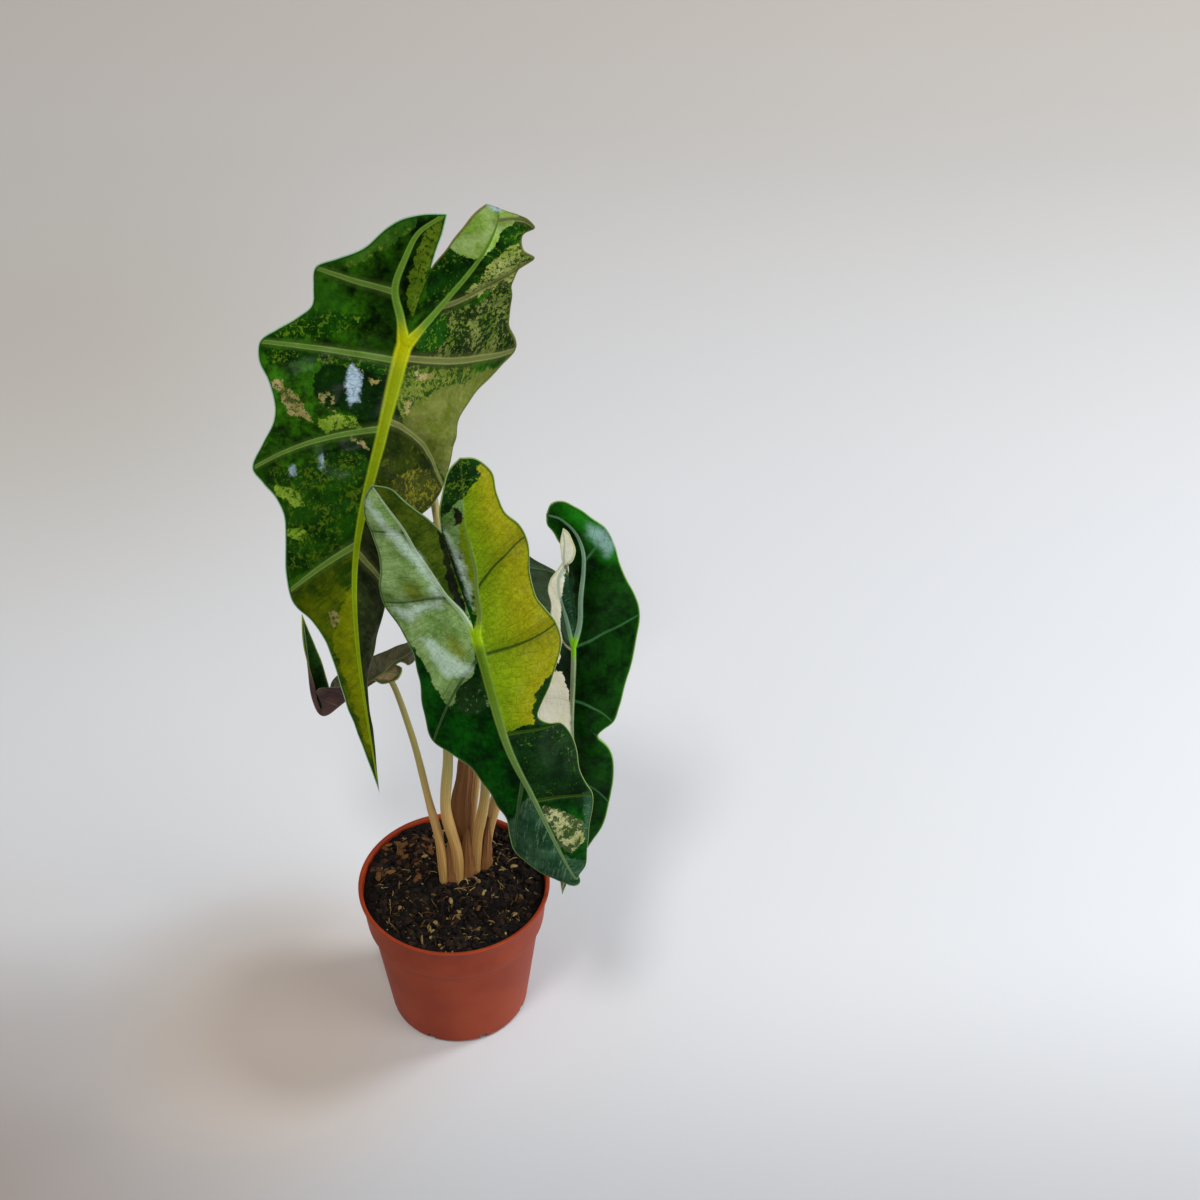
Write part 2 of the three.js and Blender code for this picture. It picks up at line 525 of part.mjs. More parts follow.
// Corm with its roots; grow makes the hollow that they leave in the soil
function cormSolid(grow) {
  const { x, y, crown, crownRadius, depth, radius, sides } = CORM;
  const top = crown + grow;
  const profile = [[0, crown - depth - grow], [radius * 0.5 + grow, crown - depth * 0.93 - grow],
    [radius * 0.9 + grow, crown - depth * 0.65], [radius + grow, crown - depth * 0.35],
    [crownRadius + grow, top], [0, top]];
  let body = solid(lathe(profile, sides).translate(x, y, 0));
  for (let i = 0; i < ROOTS.count; i += 1) {
    const angle = (2 * Math.PI * (i + 0.3)) / ROOTS.count;
    const out = mm(Math.cos(angle), Math.sin(angle), 0);
    const reach = ROOTS.reach * (1 - 0.25 * (i % 2)) - 6 * Math.max(0, out.y);
    const start = mm(x, y, crown - depth * 0.7).addScaledVector(out, radius * 0.5);
    const curve = new THREE.CatmullRomCurve3([
      start,
      start.clone().addScaledVector(out, reach * 0.5).add(mm(0, 0, -ROOTS.drop * 0.25)),
      start.clone().addScaledVector(out, reach * 0.75).add(mm(0, 0, -ROOTS.drop * 0.65)),
      start.clone().addScaledVector(out, reach * 0.8).add(mm(0, 0, -ROOTS.drop - grow)),
    ], false, 'centripetal');
    const thickness = (u) => grow + ROOTS.radius * (1 - 0.55 * u);
    body = body.add(solid(taperedTube(curve, thickness, ROOTS.sides, ROOTS.steps)));
  }
  return body;
}

function soilGeometry() {
  const random = seeded(7);
  const clearance = POT.wall + 1.5 * GAP;
  const relief = (x, y) => 0.5 * Math.sin(x * 0.19 + 1) * Math.cos(y * 0.16)
    + 0.3 * Math.sin(x * 0.43 - y * 0.31) + 0.2 * Math.cos(x * 0.71 + y * 0.57);
  const height = (x, y) => SOIL.top + SOIL.edge * (x * x + y * y) / POT.collarTop ** 2
    + SOIL.relief * relief(x, y);
  const points = [];
  const index = [];
  const ring = (radius, z) => {
    const first = points.length;
    for (let k = 0; k < SOIL.sides; k += 1) {
      const angle = (2 * Math.PI * k) / SOIL.sides;
      const [x, y] = [Math.cos(angle) * radius, Math.sin(angle) * radius];
      points.push(mm(x, y, z === null ? height(x, y) : z));
    }
    return first;
  };
  const floor = POT.floor + GAP;
  const wallHeights = [floor + 4.5, POT.height - POT.collarHeight - 1, POT.height - POT.collarHeight + 2.5];
  const rings = [ring(potRadius(6) - clearance - 4, floor)];
  for (const z of wallHeights) rings.push(ring(potRadius(z) - clearance, z));
  const topRadius = potRadius(SOIL.top) - clearance;
  for (let i = 0; i < SOIL.rings; i += 1) rings.push(ring(topRadius * (1 - i / SOIL.rings), null));
  const [under, over] = [points.push(mm(0, 0, floor)) - 1, points.push(mm(0, 0, height(0, 0))) - 1];
  for (let k = 0; k < SOIL.sides; k += 1) {
    const next = (k + 1) % SOIL.sides;
    for (let r = 0; r < rings.length - 1; r += 1) {
      const [a, b] = [rings[r], rings[r + 1]];
      index.push(a + k, a + next, b + next, a + k, b + next, b + k);
    }
    index.push(under, rings[0] + next, rings[0] + k, over, rings.at(-1) + k, rings.at(-1) + next);
  }
  const geometry = new THREE.BufferGeometry().setFromPoints(points);
  geometry.setIndex(index);
  let body = solid(geometry);

  // Chips lie anywhere that is clear of the stalks and the wall, the bark pieces on the left
  for (const kind of [CHIPS, BARK]) {
    for (let i = 0; i < kind.count; i += 1) {
      const size = kind.size.map((least, k) => least + kind.spread[k] * random());
      const chip = new THREE.BoxGeometry(...size);
      chip.rotateX(kind.tilt * (random() - 0.5)).rotateY(kind.tilt * (random() - 0.5));
      chip.rotateZ(Math.PI * random());
      let place = null;
      do {
        place = [kind.x, kind.y].map(([low, high]) => THREE.MathUtils.lerp(low, high, random()));
      } while (Math.hypot(...place) > topRadius - size[0]
        || Math.hypot(place[0] - CORM.x, place[1] - CORM.y) < SOIL.keepOff + size[0] / 2);
      body = body.add(solid(chip.translate(...place, height(...place))));
    }
  }
  body = body.subtract(cormSolid(GAP));
  for (const name of Object.keys(STALKS)) body = body.subtract(solid(stalkGeometry(name, GAP)));
  return fromSolid(body.subtract(solid(sheathGeometry(GAP))));
}

// The dry sheath is a narrow strip that stands upright and is hollow towards the stalks in front of it
function sheathGeometry(grow) {
  const { path, halfWidths, hollow, thickness, columns, rows } = SHEATH;
  const curve = new THREE.CatmullRomCurve3(vectors(path), false, 'centripetal');
  const flat = new FlatMesh();
  const grid = Array.from({ length: rows + 1 }, (_, i) => Array.from({ length: columns + 1 }, (__, c) => (
    flat.point(1, (2 * c) / columns - 1 || 1e-6, i))));
  for (let i = 0; i < rows; i += 1) {
    for (let c = 0; c < columns; c += 1) {
      flat.triangle(grid[i][c], grid[i][c + 1], grid[i + 1][c + 1]);
      flat.triangle(grid[i][c], grid[i + 1][c + 1], grid[i + 1][c]);
    }
  }
  const place = (p, under) => {
    const t = (p.y / rows) * (halfWidths.length - 1);
    const k = Math.min(Math.floor(t), halfWidths.length - 2);
    const halfWidth = THREE.MathUtils.lerp(halfWidths[k], halfWidths[k + 1], t - k) + grow;
    const shift = under ? thickness + grow : -grow;
    return curve.getPoint(p.y / rows)
      .add(mm(p.x * halfWidth, hollow * halfWidth * p.x * p.x + shift, p.y === 0 ? -grow : 0));
  };
  return thicken(flat, place);
}

function piece(name, geometry, [colour, roughness]) {
  const material = new THREE.MeshStandardMaterial({ color: colour, roughness, metalness: 0 });
  const mesh = new THREE.Mesh(geometry, material);
  mesh.name = name;
  return mesh;
}

const plant = new THREE.Group();
plant.add(piece('pot', potGeometry(), COLOURS.pot));
plant.add(piece('soil', soilGeometry(), COLOURS.soil));
plant.add(piece('corm', fromSolid(cormSolid(0)), COLOURS.corm));
plant.add(piece('dry_sheath', sheathGeometry(0), COLOURS.sheath));
for (const name of Object.keys(LEAVES)) {
  plant.add(piece(`stalk_${name}`, stalkGeometry(name, 0), COLOURS.stalk));
  plant.add(piece(`blade_${name}`, bladeGeometry(LEAVES[name]), COLOURS[name]));
}

export default plant;
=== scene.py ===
import math

import bmesh
import bpy
import numpy as np
from mathutils import Matrix, Vector


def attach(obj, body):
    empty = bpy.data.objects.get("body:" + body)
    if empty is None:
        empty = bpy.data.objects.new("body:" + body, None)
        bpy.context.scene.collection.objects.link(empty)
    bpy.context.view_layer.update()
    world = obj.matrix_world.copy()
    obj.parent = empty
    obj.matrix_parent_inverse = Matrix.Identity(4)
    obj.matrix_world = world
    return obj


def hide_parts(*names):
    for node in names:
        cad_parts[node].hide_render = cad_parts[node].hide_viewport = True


# A variegated alocasia with five leaves in a round nursery pot. Places and sizes are in millimetres in the
# pot's own frame, and become metres when a mesh is made.
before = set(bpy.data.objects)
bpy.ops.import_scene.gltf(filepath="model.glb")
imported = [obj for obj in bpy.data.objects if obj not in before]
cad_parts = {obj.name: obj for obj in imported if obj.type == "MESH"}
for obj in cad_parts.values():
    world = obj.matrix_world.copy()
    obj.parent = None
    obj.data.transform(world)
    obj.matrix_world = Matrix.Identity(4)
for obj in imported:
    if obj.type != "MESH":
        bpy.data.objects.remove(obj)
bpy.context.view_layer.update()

METRES = 0.001
CAMERA = {"place": (0.080, -0.9243, 1.116), "down": 41.5, "lens": 75, "sensor": 36}


def linked(name, data):
    """A new object in the scene."""
    item = bpy.data.objects.new(name, data)
    bpy.context.scene.collection.objects.link(item)
    return item


def make_camera():
    data = bpy.data.cameras.new("view")
    data.lens, data.sensor_width = CAMERA["lens"], CAMERA["sensor"]
    camera = linked("view", data)
    camera.location = CAMERA["place"]
    camera.rotation_euler = (math.radians(90 - CAMERA["down"]), 0, 0)
    bpy.context.scene.camera = camera


make_camera()

# Heights and radii of the pot, its drainage slots and its soil, and the height at which the collar starts
POT = {
    "height": 92, "rim": 52.5, "lip": 1.2, "lip_width": 2.2, "collar_top": 51.4, "collar_bottom": 48.9,
    "collar_height": 24, "step": 2.2, "base": 38, "corner": 3.5, "wall": 1.2, "floor": 1.4, "sides": 240,
}
DRAIN = {"count": 8, "length": 9, "width": 4, "height": 8, "radius": 34}
SOIL = {"top": 87, "edge": 1.6, "relief": 1.2}
COLLAR_FOOT = POT["height"] - POT["collar_height"]

# The height at which the corm carries the stalks, and the room between two solids
CROWN_TOP = 80
GAP = 0.3

# A blade's thickness, the room behind it, its waves, its puckers (strength, wavelength, seed, and how far
# from the ribs they are full), the row length at which both are full, and the lengths of the dip between the
# lobes and of the rise past them
SHEET = 0.55
BACK = 1.0
WAVE = 1.4
PUCKERS = ((0.7, 26, 3, 14), (0.21, 10, 4, 8))
FULL_ROW = 30
DIP_LENGTH = 25
RAISE_LENGTH = 22

# The point of a midrib's path where the stalk stands, and the largest distances that are told apart from the
# ribs, veins and margins, and outside an area
STALK_POINT = 2
FAR = 99.0
OUTSIDE = 12.0

# Each leaf lies flat first, with x to the right of its midrib and y along it, from 0 at the stalk to the
# tip. The path is the midrib's in space. Face says where the leaf looks, and fold (degrees) and curl (degrees
# over 100 mm) how each half bends, all at the lobes' ends, the stalk, halfway and the tip. A half's costa is
# the rib of its lobe. The inner margin runs from the notch to the costa's end, and the outer one on to the
# tip. A point with four numbers ends a side vein, and adds where it leaves the rib and how far it bows. The
# lobes are joined down to the notch, with a valley between them, and may be raised past it. Rib is how far
# the ribs stand out below, and quilt how far the skin bulges between the veins.
LEAVES = {
    "tall": {
        "path": [(18, 80, 474), (0, 72, 444), (-14, 60, 409), (-24, 30, 381), (-37, -4, 337),
                 (-38, -27, 290), (-31, -45, 206)],
        "face": [(0.25, -0.85, 0.45), (0.3, -0.75, 0.6), (0.22, -0.82, 0.5), (0.15, -0.9, 0.4)],
        "left": {
            "fold": (-12, -16, -18, -22), "curl": (-10, -10, -15, -20), "raised": 0,
            "costa": [(0, 0), (-6, -12), (-13, -24), (-14, -40), (-14, -52), (-10, -62), (-7, -68)],
            "inner": [(-2, -48), (-4, -58)],
            "outer": [(-7, -68), (-17, -61), (-24, -54), (-29, -46), (-34, -36), (-44, -27),
                      (-53, -19, -26, 0), (-51, -11), (-49, -4), (-54, 2), (-62, 8), (-69, 14, 8, 0),
                      (-67, 22), (-60, 31), (-55, 41), (-53, 52), (-56, 64), (-58, 76, 42, -4), (-51, 81),
                      (-43, 86), (-37, 94), (-35, 108), (-33, 124, 99, 0), (-29, 132), (-22, 138),
                      (-16, 149), (-12, 166), (-9, 187), (-5, 209), (0, 238)],
        },
        "right": {
            "fold": (-20, -26, -36, -80), "curl": (-10, -15, -18, -20), "raised": 0,
            "costa": [(0, 0), (6, -9), (13, -21), (19, -38), (21, -56), (19, -72), (14, -83)],
            "inner": [(2, -50), (3, -62), (5, -75), (9, -82)],
            "outer": [(14, -83), (27, -82), (40, -77, -80, -3), (36, -72), (40, -66), (50, -63, -25, 8),
                      (46, -54), (48, -44), (54, -29), (60, -16), (74, -6, 6, 0), (62, 2), (53, 10),
                      (48, 19), (50, 32), (51, 46), (51, 62, 38, -7), (46, 73), (38, 83), (32, 98),
                      (30, 114), (28, 130, 103, -2), (24, 142), (17, 155), (9, 167), (5, 178), (4, 190),
                      (5, 202), (4, 216), (0, 238)],
        },
        "joined": 40, "valley": 1, "rib": 1.9, "quilt": 2.2,
        "rib_width": 4.6, "costa_width": 2.4, "end_width": 0.6, "taper": (2.2, 0.8),
        "vein_width": 2.0, "vein_relief": 0.45,
    },
    "front": {
        "path": [(-3, -22, 393), (11, -28, 336), (20, -32, 303), (34, -54, 253), (48, -64, 221),
                 (66, -70, 175), (70, -62, 167)],
        "face": [(0, -0.9, 0.4), (0, -0.85, 0.5), (0.05, -0.88, 0.45), (0.1, -0.9, 0.4)],
        "left": {
            "fold": (-25, -24, -22, -20), "curl": (-10, -10, -15, -20), "raised": 0,
            "costa": [(0, 0), (-3, -12), (-8, -24), (-12, -39), (-16, -52), (-19, -65), (-24, -78),
                      (-28, -89)],
            "inner": [(-3, -64), (-7, -71), (-12, -79), (-18, -87)],
            "outer": [(-28, -89), (-34, -82), (-38, -72), (-38, -61, -64, 0), (-37, -50), (-39, -39),
                      (-43, -29), (-45, -19, -24, 0), (-42, -11), (-38, -2), (-37, 8), (-38, 19), (-40, 31),
                      (-41, 42), (-40, 52, 10, -3), (-32, 58), (-24, 66), (-21, 76), (-20, 88), (-19, 100),
                      (-22, 111), (-24, 121, 78, -2), (-20, 130), (-14, 139), (-8, 147), (0, 155)],
        },
        "right": {
            "fold": (-22, -20, -20, -20), "curl": (-10, -10, -15, -20), "raised": 0,
            "costa": [(0, 0), (5, -9), (8, -22), (11, -34), (12, -48), (13, -61), (17, -76), (21, -94)],
            "inner": [(2, -64), (4, -73), (8, -82), (13, -90)],
            "outer": [(21, -94), (28, -90), (34, -79), (33, -67), (34, -56), (39, -46), (41, -37, -24, -3),
                      (40, -28), (36, -16), (35, -6), (38, 1), (42, 9, 10, 2), (42, 17), (37, 26), (31, 35),
                      (24, 44), (20, 51), (24, 57), (31, 62, 52, 0), (33, 71), (32, 81), (28, 91),
                      (28, 100), (29, 109, 92, -1), (25, 117), (19, 125), (14, 134), (8, 145), (0, 155)],
        },
        "joined": 57, "valley": 5, "rib": 1.8, "quilt": 2.4,
        "rib_width": 3.0, "costa_width": 1.3, "end_width": 0.5, "taper": (1.3, 0.8),
        "vein_width": 1.3, "vein_relief": -0.3,
    },
    "right": {
        "path": [(59, 34, 328), (62, 24, 284), (66, 18, 249.5), (65, 2, 209), (66, -5, 162), (59, -8, 89)],
        "face": [(-0.45, -0.75, 0.4), (-0.45, -0.7, 0.5), (-0.42, -0.75, 0.4), (-0.4, -0.8, 0.3)],
        "left": {
            "fold": (-26, -32, -22, -20), "curl": (-20, -20, -20, -20), "raised": 4,
            "costa": [(0, 0), (-4, -12), (-7, -26), (-6, -38), (1, -48), (7, -57), (10, -66), (9, -75)],
            "inner": [(2, -46), (7, -52), (15, -59), (18, -65), (17, -70), (14, -74)],
            "outer": [(9, -75), (6, -67), (5, -59), (0, -51), (-8, -42), (-16, -33, -27, 2), (-20, -22),
                      (-22, -12), (-26, -3, 2, 0), (-30, 8), (-33, 20), (-34, 32), (-33, 43, 30, -3),
                      (-31, 53), (-28, 63), (-26, 75), (-23, 89), (-20, 101, 80, -2), (-15, 113),
                      (-10, 127), (-6, 144), (0, 164)],
        },
        "right": {
            "fold": (-26, -28, -27, -25), "curl": (-10, -15, -18, -20), "raised": 0,
            "costa": [(0, 0), (4, -12), (7, -28), (10, -44), (11, -56), (8, -67), (1, -75), (-6, -78)],
            "inner": [(1, -47), (2, -52), (1, -57), (-1, -62), (-3, -67), (-6, -72)],
            "outer": [(-6, -78), (-3, -84), (3, -85), (9, -82), (16, -76), (23, -69, -52, 2), (27, -60),
                      (29, -49), (32, -38), (35, -27), (36, -14, 0, 0), (33, -3), (30, 9), (27, 21),
                      (25, 32), (22, 42, 29, -3), (16, 47), (14, 50), (19, 57), (21, 64), (21, 76),
                      (19, 93, 76, -2), (17, 107), (12, 121), (7, 134), (3, 150), (0, 164)],
        },
        "joined": 42, "valley": 2, "rib": 1.7, "quilt": 1.6,
        "rib_width": 1.7, "costa_width": 1.7, "end_width": 0.5, "taper": (1.0, 0.8),
        "vein_width": 0.9, "vein_relief": 0.2,
    },
    "back": {
        "path": [(17, 64, 304), (23, 70, 273), (27, 72, 243), (31, 77, 205), (33, 86, 165), (30, 99, 128)],
        "face": [(0.05, 0.97, 0.2), (0.1, 0.95, 0.3), (0.1, 0.9, 0.3), (0.1, 0.9, 0.3)],
        "left": {
            "fold": (-14, -14, -14, -16), "curl": (-10, -10, -10, -20), "raised": 0,
            "costa": [(0, 0), (-6, -12), (-10, -24), (-12, -36), (-14, -47)],
            "inner": [(-2, -37), (-6, -43), (-10, -48)],
            "outer": [(-14, -47), (-18, -38), (-22, -29), (-29, -24), (-37, -20, -24, 0), (-38, -11),
                      (-37, -2), (-40, 7, 3, 0), (-36, 18), (-31, 29), (-29, 41), (-27, 54, 40, -3),
                      (-22, 64), (-17, 76), (-15, 86, 74, -2), (-10, 96), (-5, 107), (0, 119)],
        },
        "right": {
            "fold": (-14, -14, -14, -16), "curl": (-10, -10, -10, -20), "raised": 0,
            "costa": [(0, 0), (6, -12), (10, -26), (13, -40), (15, -53), (17, -65)],
            "inner": [(2, -40), (5, -50), (10, -60)],
            "outer": [(17, -65), (25, -61), (30, -52), (32, -40), (35, -27, -27, 0), (33, -14), (33, -3),
                      (37, 7, 3, 0), (33, 18), (29, 29), (28, 41), (25, 54, 40, -3), (20, 64), (17, 76),
                      (14, 86, 74, -2), (10, 96), (5, 107), (0, 119)],
        },
        "joined": 29, "valley": 3, "rib": 1.5, "quilt": 1.4,
        "rib_width": 1.0, "costa_width": 0.9, "end_width": 0.4, "taper": (1.0, 0.8),
        "vein_width": 0.7, "vein_relief": 0.2,
    },
    "small": {
        "path": [(-14, 37, 233), (-24, 39, 221), (-34.5, 42, 208.7), (-56, 46, 186), (-70, 50, 170),
                 (-76, 54, 180), (-77, 58, 203), (-78, 64, 233)],
        "face": [(-0.3, 0.2, 0.9), (-0.3, 0.2, 0.9), (0.3, 0, 0.95), (0.8, -0.6, 0.1)],
        "left": {
            "fold": (5, 40, 45, 5), "curl": (10, 10, 10, 10), "raised": 0,
            "costa": [(0, 0), (-2, -9), (-2, -18), (-3, -31)],
            "inner": [(0, -15), (3, -19), (7, -23), (8, -28), (4, -32)],
            "outer": [(-3, -31), (-10, -26), (-13, -14, -14, 0), (-13, -4), (-14, 6, 2, 0), (-15, 17),
                      (-17, 30, 20, 0), (-16, 42), (-12, 52, 44, 0), (-11, 64), (-10, 76), (-8, 88),
                      (-5, 101), (0, 120)],
        },
        "right": {
            "fold": (-60, 20, 100, 0), "curl": (10, 10, 10, 10), "raised": 0,
            "costa": [(0, 0), (3, -5), (6, -11), (9, -17)],
            "inner": [(2, -14), (5, -17)],
            "outer": [(9, -17), (13, -15), (14, -8, -8, 0), (11, -2), (8, 3), (8, 9, 4, 0), (14, 18),
                      (19, 27, 20, 0), (17, 35), (11, 42, 38, 0), (5, 50), (3, 62), (5, 76), (4, 97),
                      (0, 120)],
        },
        "joined": 11, "valley": 0, "rib": 1.2, "quilt": 1.0,
        "rib_width": 0.9, "costa_width": 0.7, "end_width": 0.3, "taper": (1.0, 0.8),
        "vein_width": 0.5, "vein_relief": 0.2,
    },
}

# A stalk's points between its foot and its blade, its radii at the foot, halfway and at the end, and how far
# behind the blade it bends
STALKS = {
    "tall": {"path": [(1.6, 7, 110), (-3, 9, 139), (-0.4, 13, 179), (-0.5, 36, 310), (-15, 67, 388)],
             "foot": (1.6, 7), "radii": (3.4, 2.3, 1.8), "behind": 13},
    "front": {"path": [(12.5, 11.5, 110), (19, 8, 157), (20, -12, 250)], "foot": (11, 13),
              "radii": (3.1, 2.6, 1.9), "behind": 13},
    "right": {"path": [(18, 21, 110), (24, 24, 134), (43, 38, 190), (62, 42, 226)], "foot": (14.4, 20),
              "radii": (4.1, 2.8, 1.9), "behind": 13},
    "back": {"path": [(8, 27, 105), (14, 41, 150), (22, 56, 210)], "foot": (5.5, 23.5),
             "radii": (3.0, 2.3, 1.7), "behind": 13},
    "small": {"path": [(-7.5, 9, 116), (-12, 14, 139), (-20, 24, 180)], "foot": (-5.5, 5.4),
              "radii": (3.2, 2.0, 1.6), "behind": 6},
}

# The dry sheath's middle line, its half widths along it and how hollow it is
SHEATH = {
    "path": [(4, 14, 80.4), (4, 14, 102), (5, 15, 133), (8.5, 17, 166), (10.7, 17, 210)],
    "half_widths": (3.4, 5, 6.2, 4.4, 0.8), "hollow": 0.4,
}

# Short dry wraps between the stalks' feet
WRAPS = {
    "wrap_left": {"path": [(-2.2, 1.7, 82), (-2, 2.6, 91), (-1.8, 4.4, 103), (-2, 6.6, 118)],
                  "half_widths": (5.4, 5, 3.4, 0.5), "hollow": 0.9},
    "wrap_middle": {"path": [(6.5, 6, 82), (6.8, 6.8, 93), (7.4, 8.4, 108), (7.8, 10, 124)],
                    "half_widths": (6, 5.4, 3.6, 0.5), "hollow": 0.6},
    "wrap_right": {"path": [(15.5, 12.5, 82), (16, 13, 94), (17.6, 14.6, 110), (19.5, 16.5, 126)],
                   "half_widths": (5, 4.6, 3, 0.5), "hollow": 0.8},
}

# The space between a blade's rows at its margin, and the columns between its rib and its margin
MESHES = {"tall": (1.7, 22), "front": (1.5, 18), "right": (1.6, 16), "back": (2.2, 12), "small": (1.8, 9)}

# Loose lumps within ranges of x and y. Their middles stand above the soil by a share of their size, and flat
# and long are the least height and the most length, as shares of their width.
CRUMBS = {
    "soil_crumbs": {"seed": 11, "count": 2600, "sizes": (0.5, 2.2), "x_range": (-50, 50),
                    "y_range": (-50, 50), "stand": 0.15, "flat": 0.6, "long": 1.6},
    "soil_chips": {"seed": 13, "count": 260, "sizes": (0.4, 1.4), "x_range": (-50, 50),
                   "y_range": (-50, 50), "stand": 0.4, "flat": 0.3, "long": 2.6},
    "bark_bits": {"seed": 14, "count": 150, "sizes": (0.7, 2.2), "x_range": (-46, -14),
                  "y_range": (6, 36), "stand": 0.4, "flat": 0.4, "long": 2.4},
}
FIBRES = {"seed": 12, "count": 330, "lengths": (3, 12), "width": 0.45}


def smooth(value, low, high):
    share = np.clip((value - low) / (high - low), 0, 1)
    return share * share * (3 - 2 * share)


def unit(vectors):
    return vectors / np.linalg.norm(vectors, axis=-1, keepdims=True)


def read_table(at, table, wanted):
    """The table's rows at the wanted places, where its own rows lie at the given places."""
    return np.stack([np.interp(wanted, at, column) for column in table.T], -1)


def circle(sides):
    angles = np.linspace(0, 2 * math.pi, sides, endpoint=False)
    return np.stack([np.cos(angles), np.sin(angles)], -1)


def grid_faces(index):
    """Faces between rows of points."""
    return np.stack([index[:-1, :-1], index[1:, :-1], index[1:, 1:], index[:-1, 1:]], -1).reshape(-1, 4)


def ring_faces(index):
    """Faces between closed rings of points."""
    turned = np.roll(index, -1, axis=1)
    return np.stack([index[:-1], turned[:-1], turned[1:], index[1:]], -1).reshape(-1, 4).tolist()


class Spline:
    """A smooth curve through points, read by the distance along it."""

    STEPS = 24

    def __init__(self, points, even=False):
        points = np.array(points, float)
        wide = np.array([2 * points[0] - points[1], *points, 2 * points[-1] - points[-2]])
        share = np.linspace(0, 1, self.STEPS + 1)[:-1, None]
        parts = []
        for before, start, end, after in zip(wide, wide[1:], wide[2:], wide[3:]):
            gaps = [1.0 if even else math.sqrt(np.linalg.norm(b - a))
                    for a, b in ((before, start), (start, end), (end, after))]
            leave = ((start - before) / gaps[0] - (end - before) / (gaps[0] + gaps[1])
                     + (end - start) / gaps[1]) * gaps[1]
            arrive = ((end - start) / gaps[1] - (after - start) / (gaps[1] + gaps[2])
                      + (after - end) / gaps[2]) * gaps[1]
            parts.append(start * (2 * share**3 - 3 * share**2 + 1) + end * (3 * share**2 - 2 * share**3)
                         + leave * (share**3 - 2 * share**2 + share) + arrive * (share**3 - share**2))
        self.samples = np.vstack([*parts, points[-1:]])
        steps = np.linalg.norm(np.diff(self.samples, axis=0), axis=1)
        self.sums = np.concatenate([[0], np.cumsum(steps)])
        self.slopes = np.gradient(self.samples, axis=0)
        self.length = self.sums[-1]
        self.knots = self.sums[::self.STEPS]

    def at(self, distance):
        return read_table(self.sums, self.samples, distance)

    def tangent(self, distance):
        return unit(read_table(self.sums, self.slopes, distance))


def blurred(table, steps):
    """A table whose rows are averaged with their neighbours, so that no crease shows."""
    reach = int(3 * steps)
    weights = np.exp(-0.5 * (np.arange(-reach, reach + 1) / steps) ** 2)
    padded = np.pad(table, ((reach, reach), (0, 0)), mode="edge")
    columns = [np.convolve(column, weights / weights.sum(), mode="valid") for column in padded.T]
    return np.stack(columns, -1)


class BentLeaf:
    """Turns places on the flat leaf into places in space."""

    STEP = 0.5
    BLUR = 8

    def __init__(self, leaf):
        curve = Spline(leaf["path"], even=True)
        self.low = -curve.knots[STALK_POINT]
        self.high = curve.length + self.low
        self.y = np.arange(self.low - 5, self.high + 5, self.STEP)
        inside = np.clip(self.y, self.low, self.high)
        tangents = curve.tangent(inside - self.low)
        points = curve.at(inside - self.low) + tangents * (self.y - inside)[:, None]
        knots = (self.low, 0, self.high / 2, self.high)
        bends = [leaf[half][kind] for half in ("left", "right") for kind in ("fold", "curl")]
        given = np.array([*np.array(leaf["face"]).T, *bends])
        along = blurred(read_table(knots, given.T, self.y), self.BLUR / self.STEP)
        face = along[:, :3]
        normals = unit(face - tangents * (face * tangents).sum(1, keepdims=True))
        across = np.cross(normals, tangents)
        bends = np.radians(along[:, 3:]) * (1, 0.01, 1, 0.01)
        self.table = np.hstack([points, normals, across, bends])

    def place(self, side, x, y, lift, soften):
        """side is -1 or 1 for each point, and soften how wide the fold along the middle is rounded."""
        read = read_table(self.y, self.table, y)
        point, normal, across = read[:, 0:3], read[:, 3:6], read[:, 6:9]
        fold = np.where(side < 0, read[:, 9], read[:, 11])
        curl = np.where(side < 0, read[:, 10], read[:, 12])
        both = (read[:, 9] + read[:, 11]) / 2
        out = side * x
        rounded = np.hypot(out, soften)
        angle = fold + curl * out
        lean = angle * np.abs(out) / rounded
        sideways = side * ((np.sin(angle) - np.sin(fold)) / curl - np.sin(lean) * lift)
        height = (np.cos(fold) - np.cos(angle)) / curl + (rounded - np.abs(out)) * np.sin(both)
        height = height + np.cos(lean) * lift
        return point + across * sideways[:, None] + normal * height[:, None]


def distance_to_line(points, line):
    """Distance of each flat point from a line of flat points, at most FAR."""
    nearest = np.full(len(points), FAR)
    for start, end in zip(line, line[1:]):
        edge = end - start
        share = np.clip((points - start) @ edge / max(edge @ edge, 1e-9), 0, 1)
        nearest = np.minimum(nearest, np.hypot(*(points - start - share[:, None] * edge).T))
    return nearest


def depth_in(points, shapes):
    """How far each flat point lies inside the closed shapes, less than 0 outside them."""
    deepest = np.full(len(points), -np.inf)
    for shape in shapes:
        ring = np.array([*shape, shape[0]], float)
        away = distance_to_line(points, ring)
        inside = np.zeros(len(points), bool)
        for (x1, y1), (x2, y2) in zip(ring, ring[1:]):
            if y1 != y2:
                crosses = (points[:, 1] > min(y1, y2)) & (points[:, 1] <= max(y1, y2))
                inside ^= crosses & (points[:, 0] < x1 + (points[:, 1] - y1) * (x2 - x1) / (y2 - y1))
        deepest = np.maximum(deepest, np.where(inside, away, -away))
    return deepest


def ripple(x, y, wavelength, seed, waves=7):
    """Gentle, irregular waves between about -1 and 1."""
    random = np.random.default_rng(seed)
    total = 0
    for _ in range(waves):
        direction, phase = random.uniform(0, 2 * math.pi, 2)
        pitch = 2 * math.pi / (wavelength * random.uniform(0.6, 1.6))
        total = total + np.sin(pitch * (x * math.cos(direction) + y * math.sin(direction)) + phase)
    return total / math.sqrt(waves)


